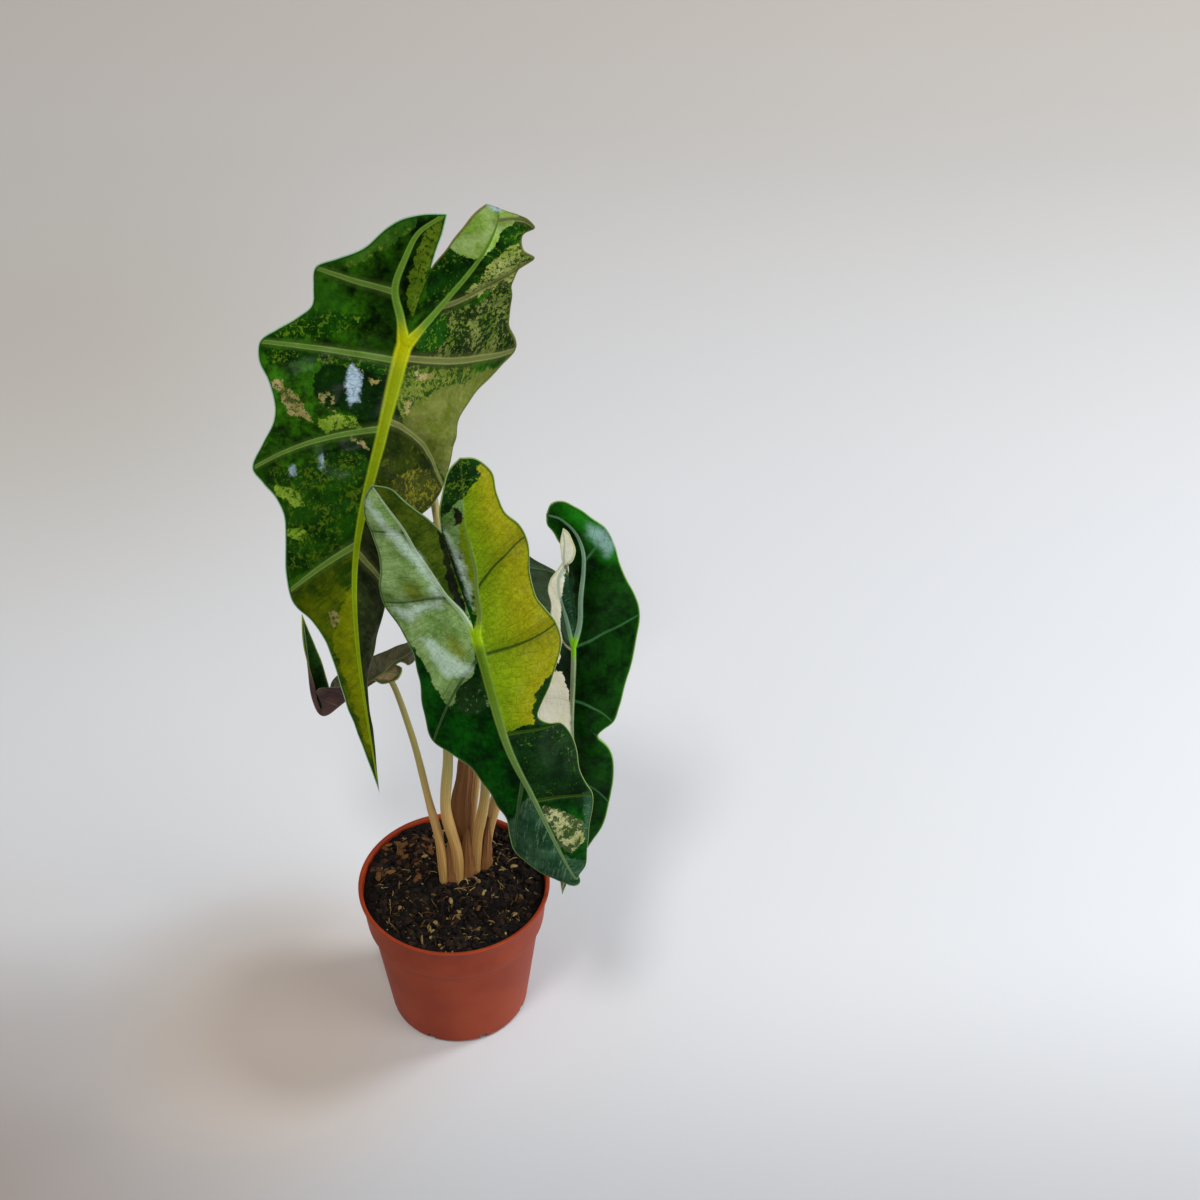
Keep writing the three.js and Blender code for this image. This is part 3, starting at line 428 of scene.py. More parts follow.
class Half:
    """One half of a flat leaf: its costa, its margins and its side veins."""

    def __init__(self, leaf, name):
        half = leaf[name]
        self.side = -1 if name == "left" else 1
        self.raised = half["raised"]
        self.costa = Spline(half["costa"])
        self.reach = np.linalg.norm(np.diff(np.array(half["costa"], float), axis=0), axis=1).sum()
        self.outer = Spline([station[:2] for station in half["outer"]])
        self.tip = half["outer"][-1][1]
        stated = [(0, -self.reach, 0)]
        stated += [(at, station[2], station[3]) for at, station in zip(self.outer.knots, half["outer"])
                   if len(station) == 4]
        stated.append((self.outer.length, self.tip, 0))
        self.at, self.roots, self.bows = np.array(stated, float).T
        self.joined = leaf["joined"]
        self.lobe = Spline([(0, -self.joined), *half["inner"], half["costa"][-1]])
        self.inner_length = self.joined + self.lobe.length

    def rib_point(self, roots):
        onto = self.costa.at(np.clip(-roots, 0, None) * self.costa.length / self.reach)
        return np.where((roots < 0)[:, None], onto, np.stack([0 * roots, roots], -1))

    def wanted(self, spacing):
        """Where rows start on the rib, to lie close enough at the margin and closer at the veins."""
        at = [np.arange(0, self.outer.length, spacing), self.at]
        for offset in (0.5, 1.1, 1.9):
            at += [self.at[1:-1] - offset, self.at[1:-1] + offset]
        return np.interp(np.unique(np.concatenate(at)), self.at, self.roots)

    def outer_rows(self, roots):
        along = np.interp(roots, self.roots, self.at)
        part = np.clip(np.searchsorted(self.at, along, side="right") - 1, 0, len(self.at) - 2)
        share = (along - self.at[part]) / (self.at[part + 1] - self.at[part])
        between = np.sin(math.pi * np.clip(share, 0, 1))
        return self.outer.at(along), np.interp(along, self.at, self.bows), between, along

    def inner_rows(self, down):
        """Margin points at a distance down from the stalk, along the middle and then round the lobe."""
        onto = self.lobe.at(down - self.joined)
        middle = np.stack([0 * down, -down], -1)
        return np.where((down <= self.joined)[:, None], middle, onto)

    def veins(self):
        """The side veins as lines of flat points."""
        share = np.linspace(0, 1, 15)[:, None]
        lines = []
        for at, root, bow in zip(self.at[1:-1], self.roots[1:-1], self.bows[1:-1]):
            start, end = self.rib_point(np.array([root]))[0], self.outer.at(at)
            middle = (start + end) / 2 + (0, 2 * bow)
            lines.append((1 - share) ** 2 * start + 2 * share * (1 - share) * middle + share**2 * end)
        return lines


def columns_for(lengths, count):
    """Shares along rows of those lengths, closer near the rib and near the margin, in mm from each."""
    near = np.array([0, 0.5, 1.0, 1.6, 2.4, 3.4])
    edge = np.array([1.6, 0.8, 0.35, 0.12, 0])
    room = np.maximum(lengths, 1e-6)[:, None]
    squeeze = np.minimum(1, room / (near[-1] + edge[0] + 4))
    first, last = near * squeeze / room, 1 - edge * squeeze / room
    steps = np.linspace(0, 1, count + 2)[1:-1]
    middle = first[:, -1:] + (last[:, :1] - first[:, -1:]) * steps
    return np.hstack([first, middle, last])


def flat_strip(half, starts, ends, bows, between, row, count, turned):
    """Rows from the rib out to a margin, as flat points with what the shapes need, and the faces."""
    lengths = np.linalg.norm(ends - starts, axis=1)
    share = columns_for(lengths, count)[:, :, None]
    bend = (starts + ends) / 2 + np.stack([0 * bows, 2 * bows], -1)
    points = ((1 - share) ** 2 * starts[:, None] + 2 * share * (1 - share) * bend[:, None]
              + share**2 * ends[:, None])
    points[:, 0], points[:, -1] = starts, ends
    rows, columns = share.shape[:2]
    faces = grid_faces(np.arange(rows * columns).reshape(rows, columns))
    by_row = {"between": between, "row": row, "size": np.minimum(1, lengths / FULL_ROW), "length": lengths,
              "side": np.full(rows, half.side)}
    data = {key: np.repeat(values, columns) for key, values in by_row.items()}
    data |= {"x": points[:, :, 0].ravel(), "y": points[:, :, 1].ravel(), "share": share.ravel()}
    return data, faces[:, ::-1] if turned else faces


def flat_leaf(leaf, spacing, count):
    """The flat leaf as one mesh: its points' data and its faces."""
    row_gap, middle_gap, notch_gap = 0.35, 0.3, 0.2
    halves = [Half(leaf, "left"), Half(leaf, "right")]
    wanted = [half.wanted(spacing) for half in halves]
    beyond = np.unique(np.round(np.concatenate([w[w > 0] for w in wanted]), 2))
    beyond = np.append(thinned(beyond, row_gap, halves), halves[0].tip)
    down = [-w[w < 0] * half.inner_length / half.reach for w, half in zip(wanted, halves)]
    middle = np.unique(np.round(np.concatenate([d[d < leaf["joined"]] for d in down]), 2))
    middle = np.append(thinned(middle, middle_gap, []), leaf["joined"])
    parts = []
    for half, lower in zip(halves, down):
        lower = np.unique(np.append(lower[lower > leaf["joined"] + notch_gap], half.inner_length))
        inner_at = np.concatenate([[0], middle, lower])[::-1]
        costa = -inner_at * half.reach / half.inner_length
        ribs = half.rib_point(np.concatenate([costa, beyond]))
        ends, bows, between, along = half.outer_rows(np.concatenate([costa, beyond]))
        ends[0], ends[-1] = ribs[0], ribs[-1]
        parts.append(flat_strip(half, ribs, ends, bows, between, along, count, half.side < 0))
        ends = half.inner_rows(inner_at)
        ends[0] = ribs[0]
        none = 0 * inner_at
        parts.append(flat_strip(half, ribs[:len(inner_at)], ends, none, none, inner_at, count // 2,
                                half.side > 0))
    data = {key: np.concatenate([part[0][key] for part in parts]) for key in parts[0][0]}
    offsets = np.cumsum([0] + [len(part[0]["x"]) for part in parts])
    faces = np.vstack([part[1] + offset for part, offset in zip(parts, offsets)])
    keys = np.stack([data["x"], data["y"], np.where(data["x"] == 0, 0, data["side"])], -1)
    _, first, welded = np.unique(np.round(keys, 4), axis=0, return_index=True, return_inverse=True)
    data = {key: value[first] for key, value in data.items()}
    return halves, data, welded.reshape(-1)[faces]


def thinned(values, gap, halves):
    """Values that lie at least a gap apart, with the veins' own values kept."""
    kept = [root for half in halves for root in half.roots[1:-1] if root > 0]
    chosen = sorted(kept)
    for value in values:
        if all(abs(value - other) >= gap for other in chosen):
            chosen.append(value)
    return np.array(sorted(chosen))


def without_doubles(faces):
    """Faces as lists of corners, with corners that fall together left out."""
    found = []
    for face in faces.tolist():
        corners = [corner for i, corner in enumerate(face) if corner != face[i - 1]]
        if len(set(corners)) == len(corners) >= 3:
            found.append(corners)
    return found


def new_piece(name, points, faces, material, slot, replaced=(), data=None, smooth_faces=True):
    """A mesh of the plant, in metres at the origin, that moves with its only body."""
    mesh = bpy.data.meshes.new(name)
    mesh.from_pydata((np.asarray(points) * METRES).tolist(), [], faces)
    mesh.validate()
    for key, values in (data or {}).items():
        if values.ndim == 2:
            mesh.attributes.new(key, "FLOAT_VECTOR", "POINT").data.foreach_set("vector", values.ravel())
        else:
            mesh.attributes.new(key, "FLOAT", "POINT").data.foreach_set("value", values)
    mesh.polygons.foreach_set("use_smooth", [smooth_faces] * len(mesh.polygons))
    mesh.materials.append(material)
    piece = linked(name, mesh)
    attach(piece, "root")
    if replaced:
        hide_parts(*replaced)
    return piece


def distances(halves, points, side):
    """How far each flat point lies from the ribs, the side veins and the margin, and its costa's x."""
    midrib = np.array([(0, 0), (0, halves[0].tip)], float)
    to_rib = distance_to_line(points, midrib)
    to_vein, to_margin = np.full((2, len(points)), FAR)
    costa_x = np.zeros(len(points))
    for half in halves:
        own = side == half.side
        inside = points[own]
        to_rib[own] = np.minimum(to_rib[own], distance_to_line(inside, half.costa.samples[::3]))
        to_vein[own] = np.min([distance_to_line(inside, line) for line in half.veins()], axis=0)
        margins = (half.outer.samples[::2], half.lobe.samples[::3])
        to_margin[own] = np.min([distance_to_line(inside, line) for line in margins], axis=0)
        costa_x[own] = np.abs(half.costa.at(np.clip(-inside[:, 1], 0, half.costa.length))[:, 0])
    return to_rib, to_vein, to_margin, costa_x


def rib_widths(leaf, x, y, reach, tip):
    """The ribs' width at each point: widest at the stalk and narrow at their ends."""
    away = np.hypot(x, y) / np.where(y < 0, reach, tip)
    onto_midrib = smooth(y, -leaf["rib_width"] * 2.5, leaf["rib_width"])
    wide = leaf["costa_width"] + (leaf["rib_width"] - leaf["costa_width"]) * onto_midrib
    power = leaf["taper"][1] + (leaf["taper"][0] - leaf["taper"][1]) * onto_midrib
    narrow = leaf["end_width"]
    return narrow + (wide - narrow) * np.clip(1 - away, 0, 1) ** power


def leaf_piece(name, spacing, count, material):
    """The blade with its ribs, side veins and thin rounded margin."""
    leaf = LEAVES[name]
    bent = BentLeaf(leaf)
    halves, flat, faces = flat_leaf(leaf, spacing, count)
    x, y, share, side = flat["x"], flat["y"], flat["share"], flat["side"]
    points = np.stack([x, y], -1)
    to_rib, to_vein, to_margin, costa_x = distances(halves, points, side)
    raised = np.where(side < 0, halves[0].raised, halves[1].raised)

    # Between the two lobes the leaf dips, and past the notch a lobe's end may stand forward
    past = smooth(-y - leaf["joined"], 0, RAISE_LENGTH)
    inward = np.clip(1 - np.abs(x) / np.maximum(costa_x, 1), 0, 1)
    dip = leaf["valley"] * smooth(-y, 0, DIP_LENGTH) * smooth(inward, 0, 1) * (1 - past)
    lift = flat["size"] * flat["between"] * leaf["quilt"] * np.sin(math.pi * share)
    lift += flat["size"] * WAVE * (flat["between"] - 0.5) * share**2
    lift += np.where(y < 0, raised * past - dip, 0)
    for strength, wavelength, seed, grown in PUCKERS:
        lift += strength * ripple(x, y, wavelength, seed) * smooth(to_rib, 1, grown)
    outward = np.where(y < 0, 1 - 0.75 * y / bent.low, 1 - 0.85 * y / bent.high)
    outward = np.clip(outward, 0, 1)
    soften = 1.2 + 5 * smooth(-y, 0, 18) * (1 - past)

    # The ribs and veins stand out a little above and much more below, and the rim is rounded
    rib_above, vein_below, rounding, rim = 0.5, 0.8, 0.5, 1.5
    to_rib = to_rib / rib_widths(leaf, x, y, halves[0].reach, halves[0].tip)
    to_vein = to_vein / (leaf["vein_width"] * (1 - 0.55 * share))
    clear = smooth(to_rib, 0.6, 1.6)
    above = rib_above * outward**0.5 * np.exp(-(to_rib / 0.85) ** 2)
    above += leaf["vein_relief"] * (1 - 0.5 * share) * np.exp(-(to_vein / 0.85) ** 2) * clear
    below = leaf["rib"] * outward * np.exp(-(to_rib / 1.1) ** 2)
    below += vein_below * (1 - 0.7 * share) * np.exp(-(to_vein / 1.1) ** 2) * clear
    half_sheet = SHEET / 2 * np.sqrt(1 - (1 - np.clip(to_margin / rounding, 0, 1)) ** 2)
    inside = smooth(to_margin, 0, rim)
    top = bent.place(side, x, y, lift - SHEET / 2 + half_sheet + above * inside, soften)
    under = bent.place(side, x, y, lift - SHEET / 2 - half_sheet - below * inside, soften)

    # Both skins share the points on the margin
    kept = to_margin >= 1e-3
    twin = np.where(kept, len(x) + np.cumsum(kept) - 1, np.arange(len(x)))
    data = {"flat": np.stack([x, y, 0 * x], -1), "rib": to_rib, "vein": to_vein, "margin": to_margin,
            "across": share, "between": flat["between"], "upper": np.ones(len(x)),
            "strip": np.stack([share * flat["length"], flat["row"], 0 * x], -1),
            "right": np.where(side > 0, 1.0, 0.0)}
    outlined = {f"area_{area}": (half, shapes) for area, (half, _, _, shapes) in AREAS[name].items()}
    # The outlines of the painted highlights, on the half they lie on
    outlined["painted_sheen"] = PAINTED_SHEENS[name][0], PAINTED_SHEENS[name][2]
    for key, (half, shapes) in outlined.items():
        depth = np.clip(depth_in(points, shapes), -OUTSIDE, OUTSIDE)
        data[key] = np.where(half * side < 0, -OUTSIDE, depth)
    both = {key: np.concatenate([value, value[kept]]) for key, value in data.items()}
    both["upper"][len(x):] = 0
    skins = without_doubles(faces) + without_doubles(twin[faces][:, ::-1])
    node = f"blade_{name}"
    new_piece(f"leaf_{name}", np.vstack([top, under[kept]]), skins, material, node, (node,), both)


def tube(centres, radii, sides, normal=(1, 0, 0), flatten=1.0):
    """Points and faces of a closed tube round a line of points."""
    centres = np.asarray(centres, float)
    tangents = unit(np.gradient(centres, axis=0))
    normals = np.zeros_like(centres)
    normals[0] = normal
    for i, tangent in enumerate(tangents):
        previous = normals[max(0, i - 1)]
        normals[i] = unit(previous - tangent * (previous @ tangent))
    sideways = np.cross(tangents, normals) * flatten
    cosines, sines = circle(sides).T[:, None, :, None]
    outward = cosines * normals[:, None] + sines * sideways[:, None]
    rings = centres[:, None] + outward * radii[:, None, None]
    index = np.arange(len(centres) * sides).reshape(-1, sides)
    return rings.reshape(-1, 3), ring_faces(index) + [index[0, ::-1].tolist(), index[-1].tolist()]


def stalk_curve(name):
    leaf, stalk = LEAVES[name], STALKS[name]
    bent = BentLeaf(leaf)
    there = read_table(bent.y, bent.table, 0)
    point, normal = there[:3], there[3:6]
    foot = CROWN_TOP + GAP
    return Spline([(*stalk["foot"], foot), (*stalk["foot"], foot + 8), *stalk["path"],
                   point - normal * stalk["behind"], point - normal * (BACK + leaf["rib"] + GAP)])


def stalk_piece(name, material):
    """A leaf stalk, thicker where its base wraps the next one. Its end reaches into the blade's rib."""
    sides, step, beyond, swelling = 28, 1.5, 1.6, 0.05
    curve = stalk_curve(name)
    radii = STALKS[name]["radii"]
    at = np.linspace(0, curve.length, round(curve.length / step))
    share = at / curve.length
    radius = np.interp(share, (0, 0.5, 1), radii)
    radius = radius * (1 + swelling * np.sin(at * 0.21 + radii[0]) * (1 - share))
    end = curve.at(curve.length) + curve.tangent(curve.length) * beyond
    centres = np.vstack([curve.at(at), end])
    points, faces = tube(centres, np.append(radius, radius[-1] * 1.25), sides, flatten=0.94)
    height = np.repeat(np.append(at, curve.length + beyond), sides)
    turn = np.tile(circle(sides), (len(centres), 1))
    new_piece(f"petiole_{name}", points, faces, material, "stalk", (f"stalk_{name}",),
              {"rise": height, "round": np.column_stack([turn, height * 0.02])})


def sheath_piece(name, shape, slot, replaced, material):
    """A dry sheath, a curved strip with lengthwise creases and a frayed tip."""
    rows, columns, thickness = 90, 25, 0.55
    share = np.linspace(0, 1, rows + 1)
    samples = Spline(shape["path"]).samples
    centre = read_table(np.linspace(0, 1, len(samples)), samples, share)[:, None]
    knots = np.linspace(0, 1, len(shape["half_widths"]))
    u, v = np.meshgrid(np.linspace(-1, 1, columns), share)
    half_width = np.interp(v, knots, shape["half_widths"]) * (1 + 0.05 * np.sin(v * 31) * np.sign(u))
    creases = 0.16 * np.sin(u * 11 + 2 * v) + 0.1 * np.sin(u * 23 - 5 * v)
    front = centre + np.stack([u * half_width, shape["hollow"] * half_width * u * u + creases, 0 * u], -1)
    back = front + np.sqrt(1 - 0.98 * u**2)[..., None] * (0, thickness, 0)
    index = np.arange(u.size).reshape(u.shape)
    other = index + index.size
    parts = [grid_faces(index.T), grid_faces(other)]
    for line, mirror, turned in ((index[:, 0], other[:, 0], False), (index[:, -1], other[:, -1], True),
                                 (index[0], other[0], True), (index[-1], other[-1], False)):
        rim = np.stack([line[:-1], line[1:], mirror[1:], mirror[:-1]], -1)
        parts.append(rim[:, ::-1] if turned else rim)
    grain = np.stack([u.ravel(), v.ravel(), 0 * u.ravel()], -1)
    new_piece(name, np.vstack([front.reshape(-1, 3), back.reshape(-1, 3)]), np.vstack(parts).tolist(),
              material, slot, replaced, {"grain": np.vstack([grain, grain])})


def pot_radius(z):
    """The outside's radius at a height, below the rim."""
    if z > COLLAR_FOOT:
        ends = (COLLAR_FOOT, POT["height"]), (POT["collar_bottom"], POT["collar_top"])
    else:
        ends = (0, COLLAR_FOOT), (POT["base"], POT["collar_bottom"] - POT["step"])
    return float(np.interp(z, *ends))


def lathe(profile, sides):
    """A closed body of revolution. The profile's two ends lie on the axis."""
    ring = circle(sides)
    points = [np.hstack([ring * radius, np.full((sides, 1), z)]) for radius, z in profile[1:-1]]
    points = np.vstack([*points, [[0, 0, profile[0][1]], [0, 0, profile[-1][1]]]])
    low, high = len(points) - 2, len(points) - 1
    index = np.arange(low).reshape(-1, sides)
    turned = np.roll(index, -1, axis=1)
    faces = ring_faces(index)
    faces += [[low, b, a] for a, b in zip(index[0], turned[0])]
    faces += [[high, a, b] for a, b in zip(index[-1], turned[-1])]
    return points, faces


def pot_piece(material):
    """The pot with its stepped collar, rolled rim and drainage slots."""
    height, lip, corner, wall, rim = (POT[key] for key in ("height", "lip", "corner", "wall", "rim"))
    foot, mouth = COLLAR_FOOT, rim - POT["lip_width"]
    base = pot_radius(corner)
    turn = [(base - corner * (1 - math.sin(a)), corner * (1 - math.cos(a)))
            for a in np.radians(np.linspace(0, 90, 9))]
    body = [(pot_radius(z), z) for z in np.linspace(corner + 3, foot - 2.4, 12)]
    step = [(pot_radius(foot - 1) + 0.15, foot - 1.1), (pot_radius(foot) + 0.9, foot - 0.35),
            (POT["collar_bottom"] - 0.35, foot + 0.25), (POT["collar_bottom"] + 0.05, foot + 1.0)]
    collar = [(pot_radius(z), z) for z in np.linspace(foot + 2, height - 2.6 * lip, 6)]
    roll = [(pot_radius(height) + 0.05, height - 2 * lip), (rim - 0.35, height - 1.65 * lip),
            (rim, height - lip), (rim, height - 0.45), (rim - 0.15, height - 0.15),
            (rim - 0.45, height), (mouth + 0.4, height), (mouth, height - 0.25)]
    inside = [(pot_radius(z) - wall, z)
              for z in (height - 2, foot + 2.2, foot + 0.6, foot - 1, foot - 12, 30, 5)]
    inside.append((pot_radius(5) - wall - 3, POT["floor"]))
    profile = [(0, 0), (20, 0), *turn, *body, *step, *collar, *roll, *inside, (0, POT["floor"])]
    cut_slots(new_piece("nursery_pot", *lathe(profile, POT["sides"]), material, "pot", ("pot",)))


def cut_slots(piece):
    """Drainage slots through the bottom corner, like the eight in the model."""
    cutter = bmesh.new()
    size = Vector((DRAIN["length"], DRAIN["width"], DRAIN["height"])) * METRES
    middle = Vector(((DRAIN["radius"] + DRAIN["length"] / 2 - 3) * METRES, 0, 0))
    for i in range(DRAIN["count"]):
        turn = Matrix.Rotation(2 * math.pi * (i + 0.5) / DRAIN["count"], 4, "Z")
        place = turn @ Matrix.LocRotScale(middle, None, size)
        bmesh.ops.create_cube(cutter, size=1, matrix=place)
    mesh = bpy.data.meshes.new("slots")
    cutter.to_mesh(mesh)
    cutter.free()
    slots = linked("slots", mesh)
    cut = piece.modifiers.new("slots", "BOOLEAN")
    cut.object, cut.solver = slots, "EXACT"
    bpy.context.view_layer.update()
    shaped = bpy.data.meshes.new_from_object(piece.evaluated_get(bpy.context.evaluated_depsgraph_get()))
    piece.modifiers.clear()
    piece.data = shaped
    bpy.data.objects.remove(slots)


def soil_height(x, y):
    relief = (0.5 * np.sin(x * 0.19 + 1) * np.cos(y * 0.16) + 0.3 * np.sin(x * 0.43 - y * 0.31)
              + 0.2 * np.cos(x * 0.71 + y * 0.57))
    return SOIL["top"] + SOIL["edge"] * (x * x + y * y) / POT["collar_top"] ** 2 + SOIL["relief"] * relief


def soil_top(x, y):
    """The soil's surface with its lumps."""
    lumps = 0.55 * ripple(x, y, 9, 21) + 0.4 * ripple(x, y, 4.5, 22) + 0.25 * ripple(x, y, 2.2, 23)
    heap = 2 * smooth(np.hypot(x, y), 30, 48) * smooth(y, 0, 30)
    return soil_height(x, y) + lumps * 0.9 - 0.3 + heap


def soil_piece(material):
    """The soil's body, fine on top."""
    sides, rings, middle = 220, 62, 0.012
    clearance = POT["wall"] + 1.5 * GAP
    floor = POT["floor"] + GAP
    walls = [(pot_radius(6) - clearance - 4, floor)]
    walls += [(pot_radius(z) - clearance, z) for z in (floor + 4.5, COLLAR_FOOT - 1, COLLAR_FOOT + 2.5)]
    radius = pot_radius(SOIL["top"]) - clearance
    top = [(radius * share, 0) for share in np.linspace(1, middle, rings)]
    points, faces = lathe([(0, floor), *walls, *top, (0, 0)], sides)
    surface = points[:, 2] == 0
    points[surface, 2] = soil_top(*points[surface, :2].T)
    new_piece("potting_soil", points, faces, material, "soil", ("soil",))


def turn_matrix(angle, first, second):
    """A turn in the plane of two axes, for points as rows."""
    matrix = np.eye(3)
    matrix[first, first] = matrix[second, second] = math.cos(angle)
    matrix[first, second], matrix[second, first] = math.sin(angle), -math.sin(angle)
    return matrix


def scattered_places(random, count, x_range, y_range, reach):
    """Places on the soil, clear of the wall."""
    places = []
    while len(places) < count:
        x, y = random.uniform(*x_range), random.uniform(*y_range)
        if math.hypot(x, y) < reach:
            places.append((x, y))
    return np.array(places)


def crumbs_piece(name, material, seed, count, sizes, x_range, y_range, stand, flat, long):
    """Many small lumps that lie on the soil, each with a tone of its own."""
    wall_clearance = 2.5
    random = np.random.default_rng(seed)
    shape = bmesh.new()
    bmesh.ops.create_icosphere(shape, subdivisions=1, radius=1)
    base = np.array([vertex.co for vertex in shape.verts])
    corners = np.array([[vertex.index for vertex in face.verts] for face in shape.faces])
    shape.free()
    reach = pot_radius(SOIL["top"]) - POT["wall"] - wall_clearance
    places = scattered_places(random, count, x_range, y_range, reach)
    points, faces, tone = [], [], []
    for i, (x, y) in enumerate(places):
        size = sizes[0] + (sizes[1] - sizes[0]) * random.random() ** 2
        stretch = np.array([random.uniform(1, long), 1, random.uniform(flat, 1)]) * size
        lump = base * stretch * random.uniform(0.75, 1.2, (len(base), 1))
        turn, tilt = random.uniform(0, 2 * math.pi), random.uniform(-0.5, 0.5)
        lump = lump @ turn_matrix(tilt, 0, 2) @ turn_matrix(turn, 0, 1)
        points.append(lump + (x, y, soil_top(x, y) + size * stand))
        faces.append(corners + i * len(base))
        tone.append(np.full(len(base), random.random()))
    new_piece(name, np.vstack(points), np.vstack(faces).tolist(), material, "soil", (),
              {"tone": np.concatenate(tone)}, smooth_faces=False)


def fibres_piece(name, material, seed, count, lengths, width):
    """Thin curved fibres that lie on the soil."""
    wall_clearance, spread, steps = 6, (-44, 44), 9
    random = np.random.default_rng(seed)
    reach = pot_radius(SOIL["top"]) - POT["wall"] - wall_clearance
    places = scattered_places(random, count, spread, spread, reach)
    points, faces, tone, total = [], [], [], 0
    for x, y in places:
        length = random.uniform(*lengths)
        turn, bend = random.uniform(0, 2 * math.pi), random.uniform(-1.2, 1.2)
        along = np.linspace(-0.5, 0.5, steps)
        angle = turn + bend * along
        flat_x = x + np.cumsum(np.cos(angle)) * length / steps
        flat_y = y + np.cumsum(np.sin(angle)) * length / steps
        squeeze = np.minimum(1, reach / np.maximum(np.hypot(flat_x, flat_y), 1))
        flat_x, flat_y = flat_x * squeeze, flat_y * squeeze
        rise = random.uniform(0, 1.6) * np.sin(math.pi * (along + 0.5)) + 0.2
        ground = soil_top(flat_x, flat_y)
        line = np.stack([flat_x, flat_y, ground * 0.4 + ground.mean() * 0.6 + rise], -1)
        radius = width * random.uniform(0.6, 1.3) * (1 - 0.5 * (2 * along) ** 2) / 2
        ring, sides = tube(line, radius, 5, normal=(0, 0, 1), flatten=random.uniform(0.7, 2.2))
        points.append(ring)
        faces += [[corner + total for corner in face] for face in sides]
        total += len(ring)
        tone.append(np.full(len(ring), random.random()))
    new_piece(name, np.vstack(points), faces, material, "soil", (), {"tone": np.concatenate(tone)})


def colour(text):
    """A colour from its usual six digits, as linear light."""
    parts = [int(text[i:i + 2], 16) / 255 for i in (1, 3, 5)]
    return (*[p / 12.92 if p <= 0.04045 else ((p + 0.055) / 1.055) ** 2.4 for p in parts], 1.0)


class Wire:
    """A socket of a finish's nodes that is used in sums."""

    def __init__(self, finish, socket):
        self.finish, self.socket = finish, socket

    def sum(self, operation, first, second):
        sockets = [part.socket for part in (first, second) if isinstance(part, Wire)]
        if any(socket.type in ("VECTOR", "RGBA") for socket in sockets):
            return self.finish.node("ShaderNodeVectorMath", {"operation": operation}, {0: first, 1: second})
        return self.finish.node("ShaderNodeMath", {"operation": operation}, {0: first, 1: second})

    def __add__(self, other):
        return self.sum("ADD", self, other)

    __radd__ = __add__

    def __sub__(self, other):
        return self.sum("SUBTRACT", self, other)

    def __rsub__(self, other):
        return self.sum("SUBTRACT", other, self)

    def __mul__(self, other):
        return self.sum("MULTIPLY", self, other)

    __rmul__ = __mul__


class Finish:
    """A material made of nodes. Noises and cells have their scale per unit of the place."""

    def __init__(self, name, **constants):
        self.material = bpy.data.materials.new(name)
        self.material.use_nodes = True
        self.tree = self.material.node_tree
        self.shader = self.tree.nodes["Principled BSDF"]
        for key, value in constants.items():
            self.shader.inputs[key.replace("_", " ").title().replace("Ior", "IOR")].default_value = value

    def node(self, kind, settings=None, inputs=None, output=0):
        """Adds a node with its settings, then fills its sockets with values or links."""
        node = self.tree.nodes.new(kind)
        for key, value in (settings or {}).items():
            setattr(node, key, value)
        for key, value in (inputs or {}).items():
            self.feed(node.inputs[key], value)
        return Wire(self, node.outputs[output])

    def feed(self, socket, value):
        if isinstance(value, Wire):
            self.tree.links.new(value.socket, socket)
        elif socket.type == "VECTOR" and isinstance(value, (int, float)):
            socket.default_value = (value, value, value)
        else:
            socket.default_value = value

    def attribute(self, name, output="Fac"):
        return self.node("ShaderNodeAttribute", {"attribute_name": name}, output=output)

    def noise(self, place, scale, detail=3.0, rough=0.5, distortion=0.0):
        return self.node("ShaderNodeTexNoise", {"normalize": True}, {
            "Vector": place, "Scale": scale, "Detail": detail, "Roughness": rough,
            "Distortion": distortion})

    def cells(self, place, scale):
        """Distance from the edges of irregular cells."""
        return self.node("ShaderNodeTexVoronoi", {"feature": "DISTANCE_TO_EDGE"},
                         {"Vector": place, "Scale": scale}, "Distance")

    def own_place(self):
        return self.node("ShaderNodeTexCoord", output="Object")

    def along(self, place, axis):
        return self.node("ShaderNodeSeparateXYZ", None, {0: place}, axis)

    def distance(self, place, point=(0, 0, 0)):
        return self.node("ShaderNodeVectorMath", {"operation": "DISTANCE"}, {0: place, 1: point}, "Value")

    def ramp(self, value, low, high, start=0.0, end=1.0):
        """From start to end, smoothly, as the value goes from low to high."""
        return self.node("ShaderNodeMapRange", {"interpolation_type": "SMOOTHSTEP"}, {
            "Value": value, "From Min": low, "From Max": high, "To Min": start, "To Max": end})

    def mix(self, first, second, factor):
        """The first colour where the factor is 0, the second where it is 1."""
        first, second = (colour(c) if isinstance(c, str) else c for c in (first, second))
        return self.node("ShaderNodeMix", {"data_type": "RGBA"}, {"Factor": factor, 6: first, 7: second}, 2)

    def most(self, first, second):
        return self.node("ShaderNodeMath", {"operation": "MAXIMUM"}, {0: first, 1: second})

    def paint(self, base, roughness, height=None, distance=0.0005, strength=1.0):
        """Feeds the shader, with the height in units of the distance."""
        self.feed(self.shader.inputs["Base Color"], base)
        self.feed(self.shader.inputs["Roughness"], roughness)
        if height is not None:
            bump = self.node("ShaderNodeBump", None, {"Height": height, "Distance": distance,
                                                      "Strength": strength})
            self.feed(self.shader.inputs["Normal"], bump)
        return self.material


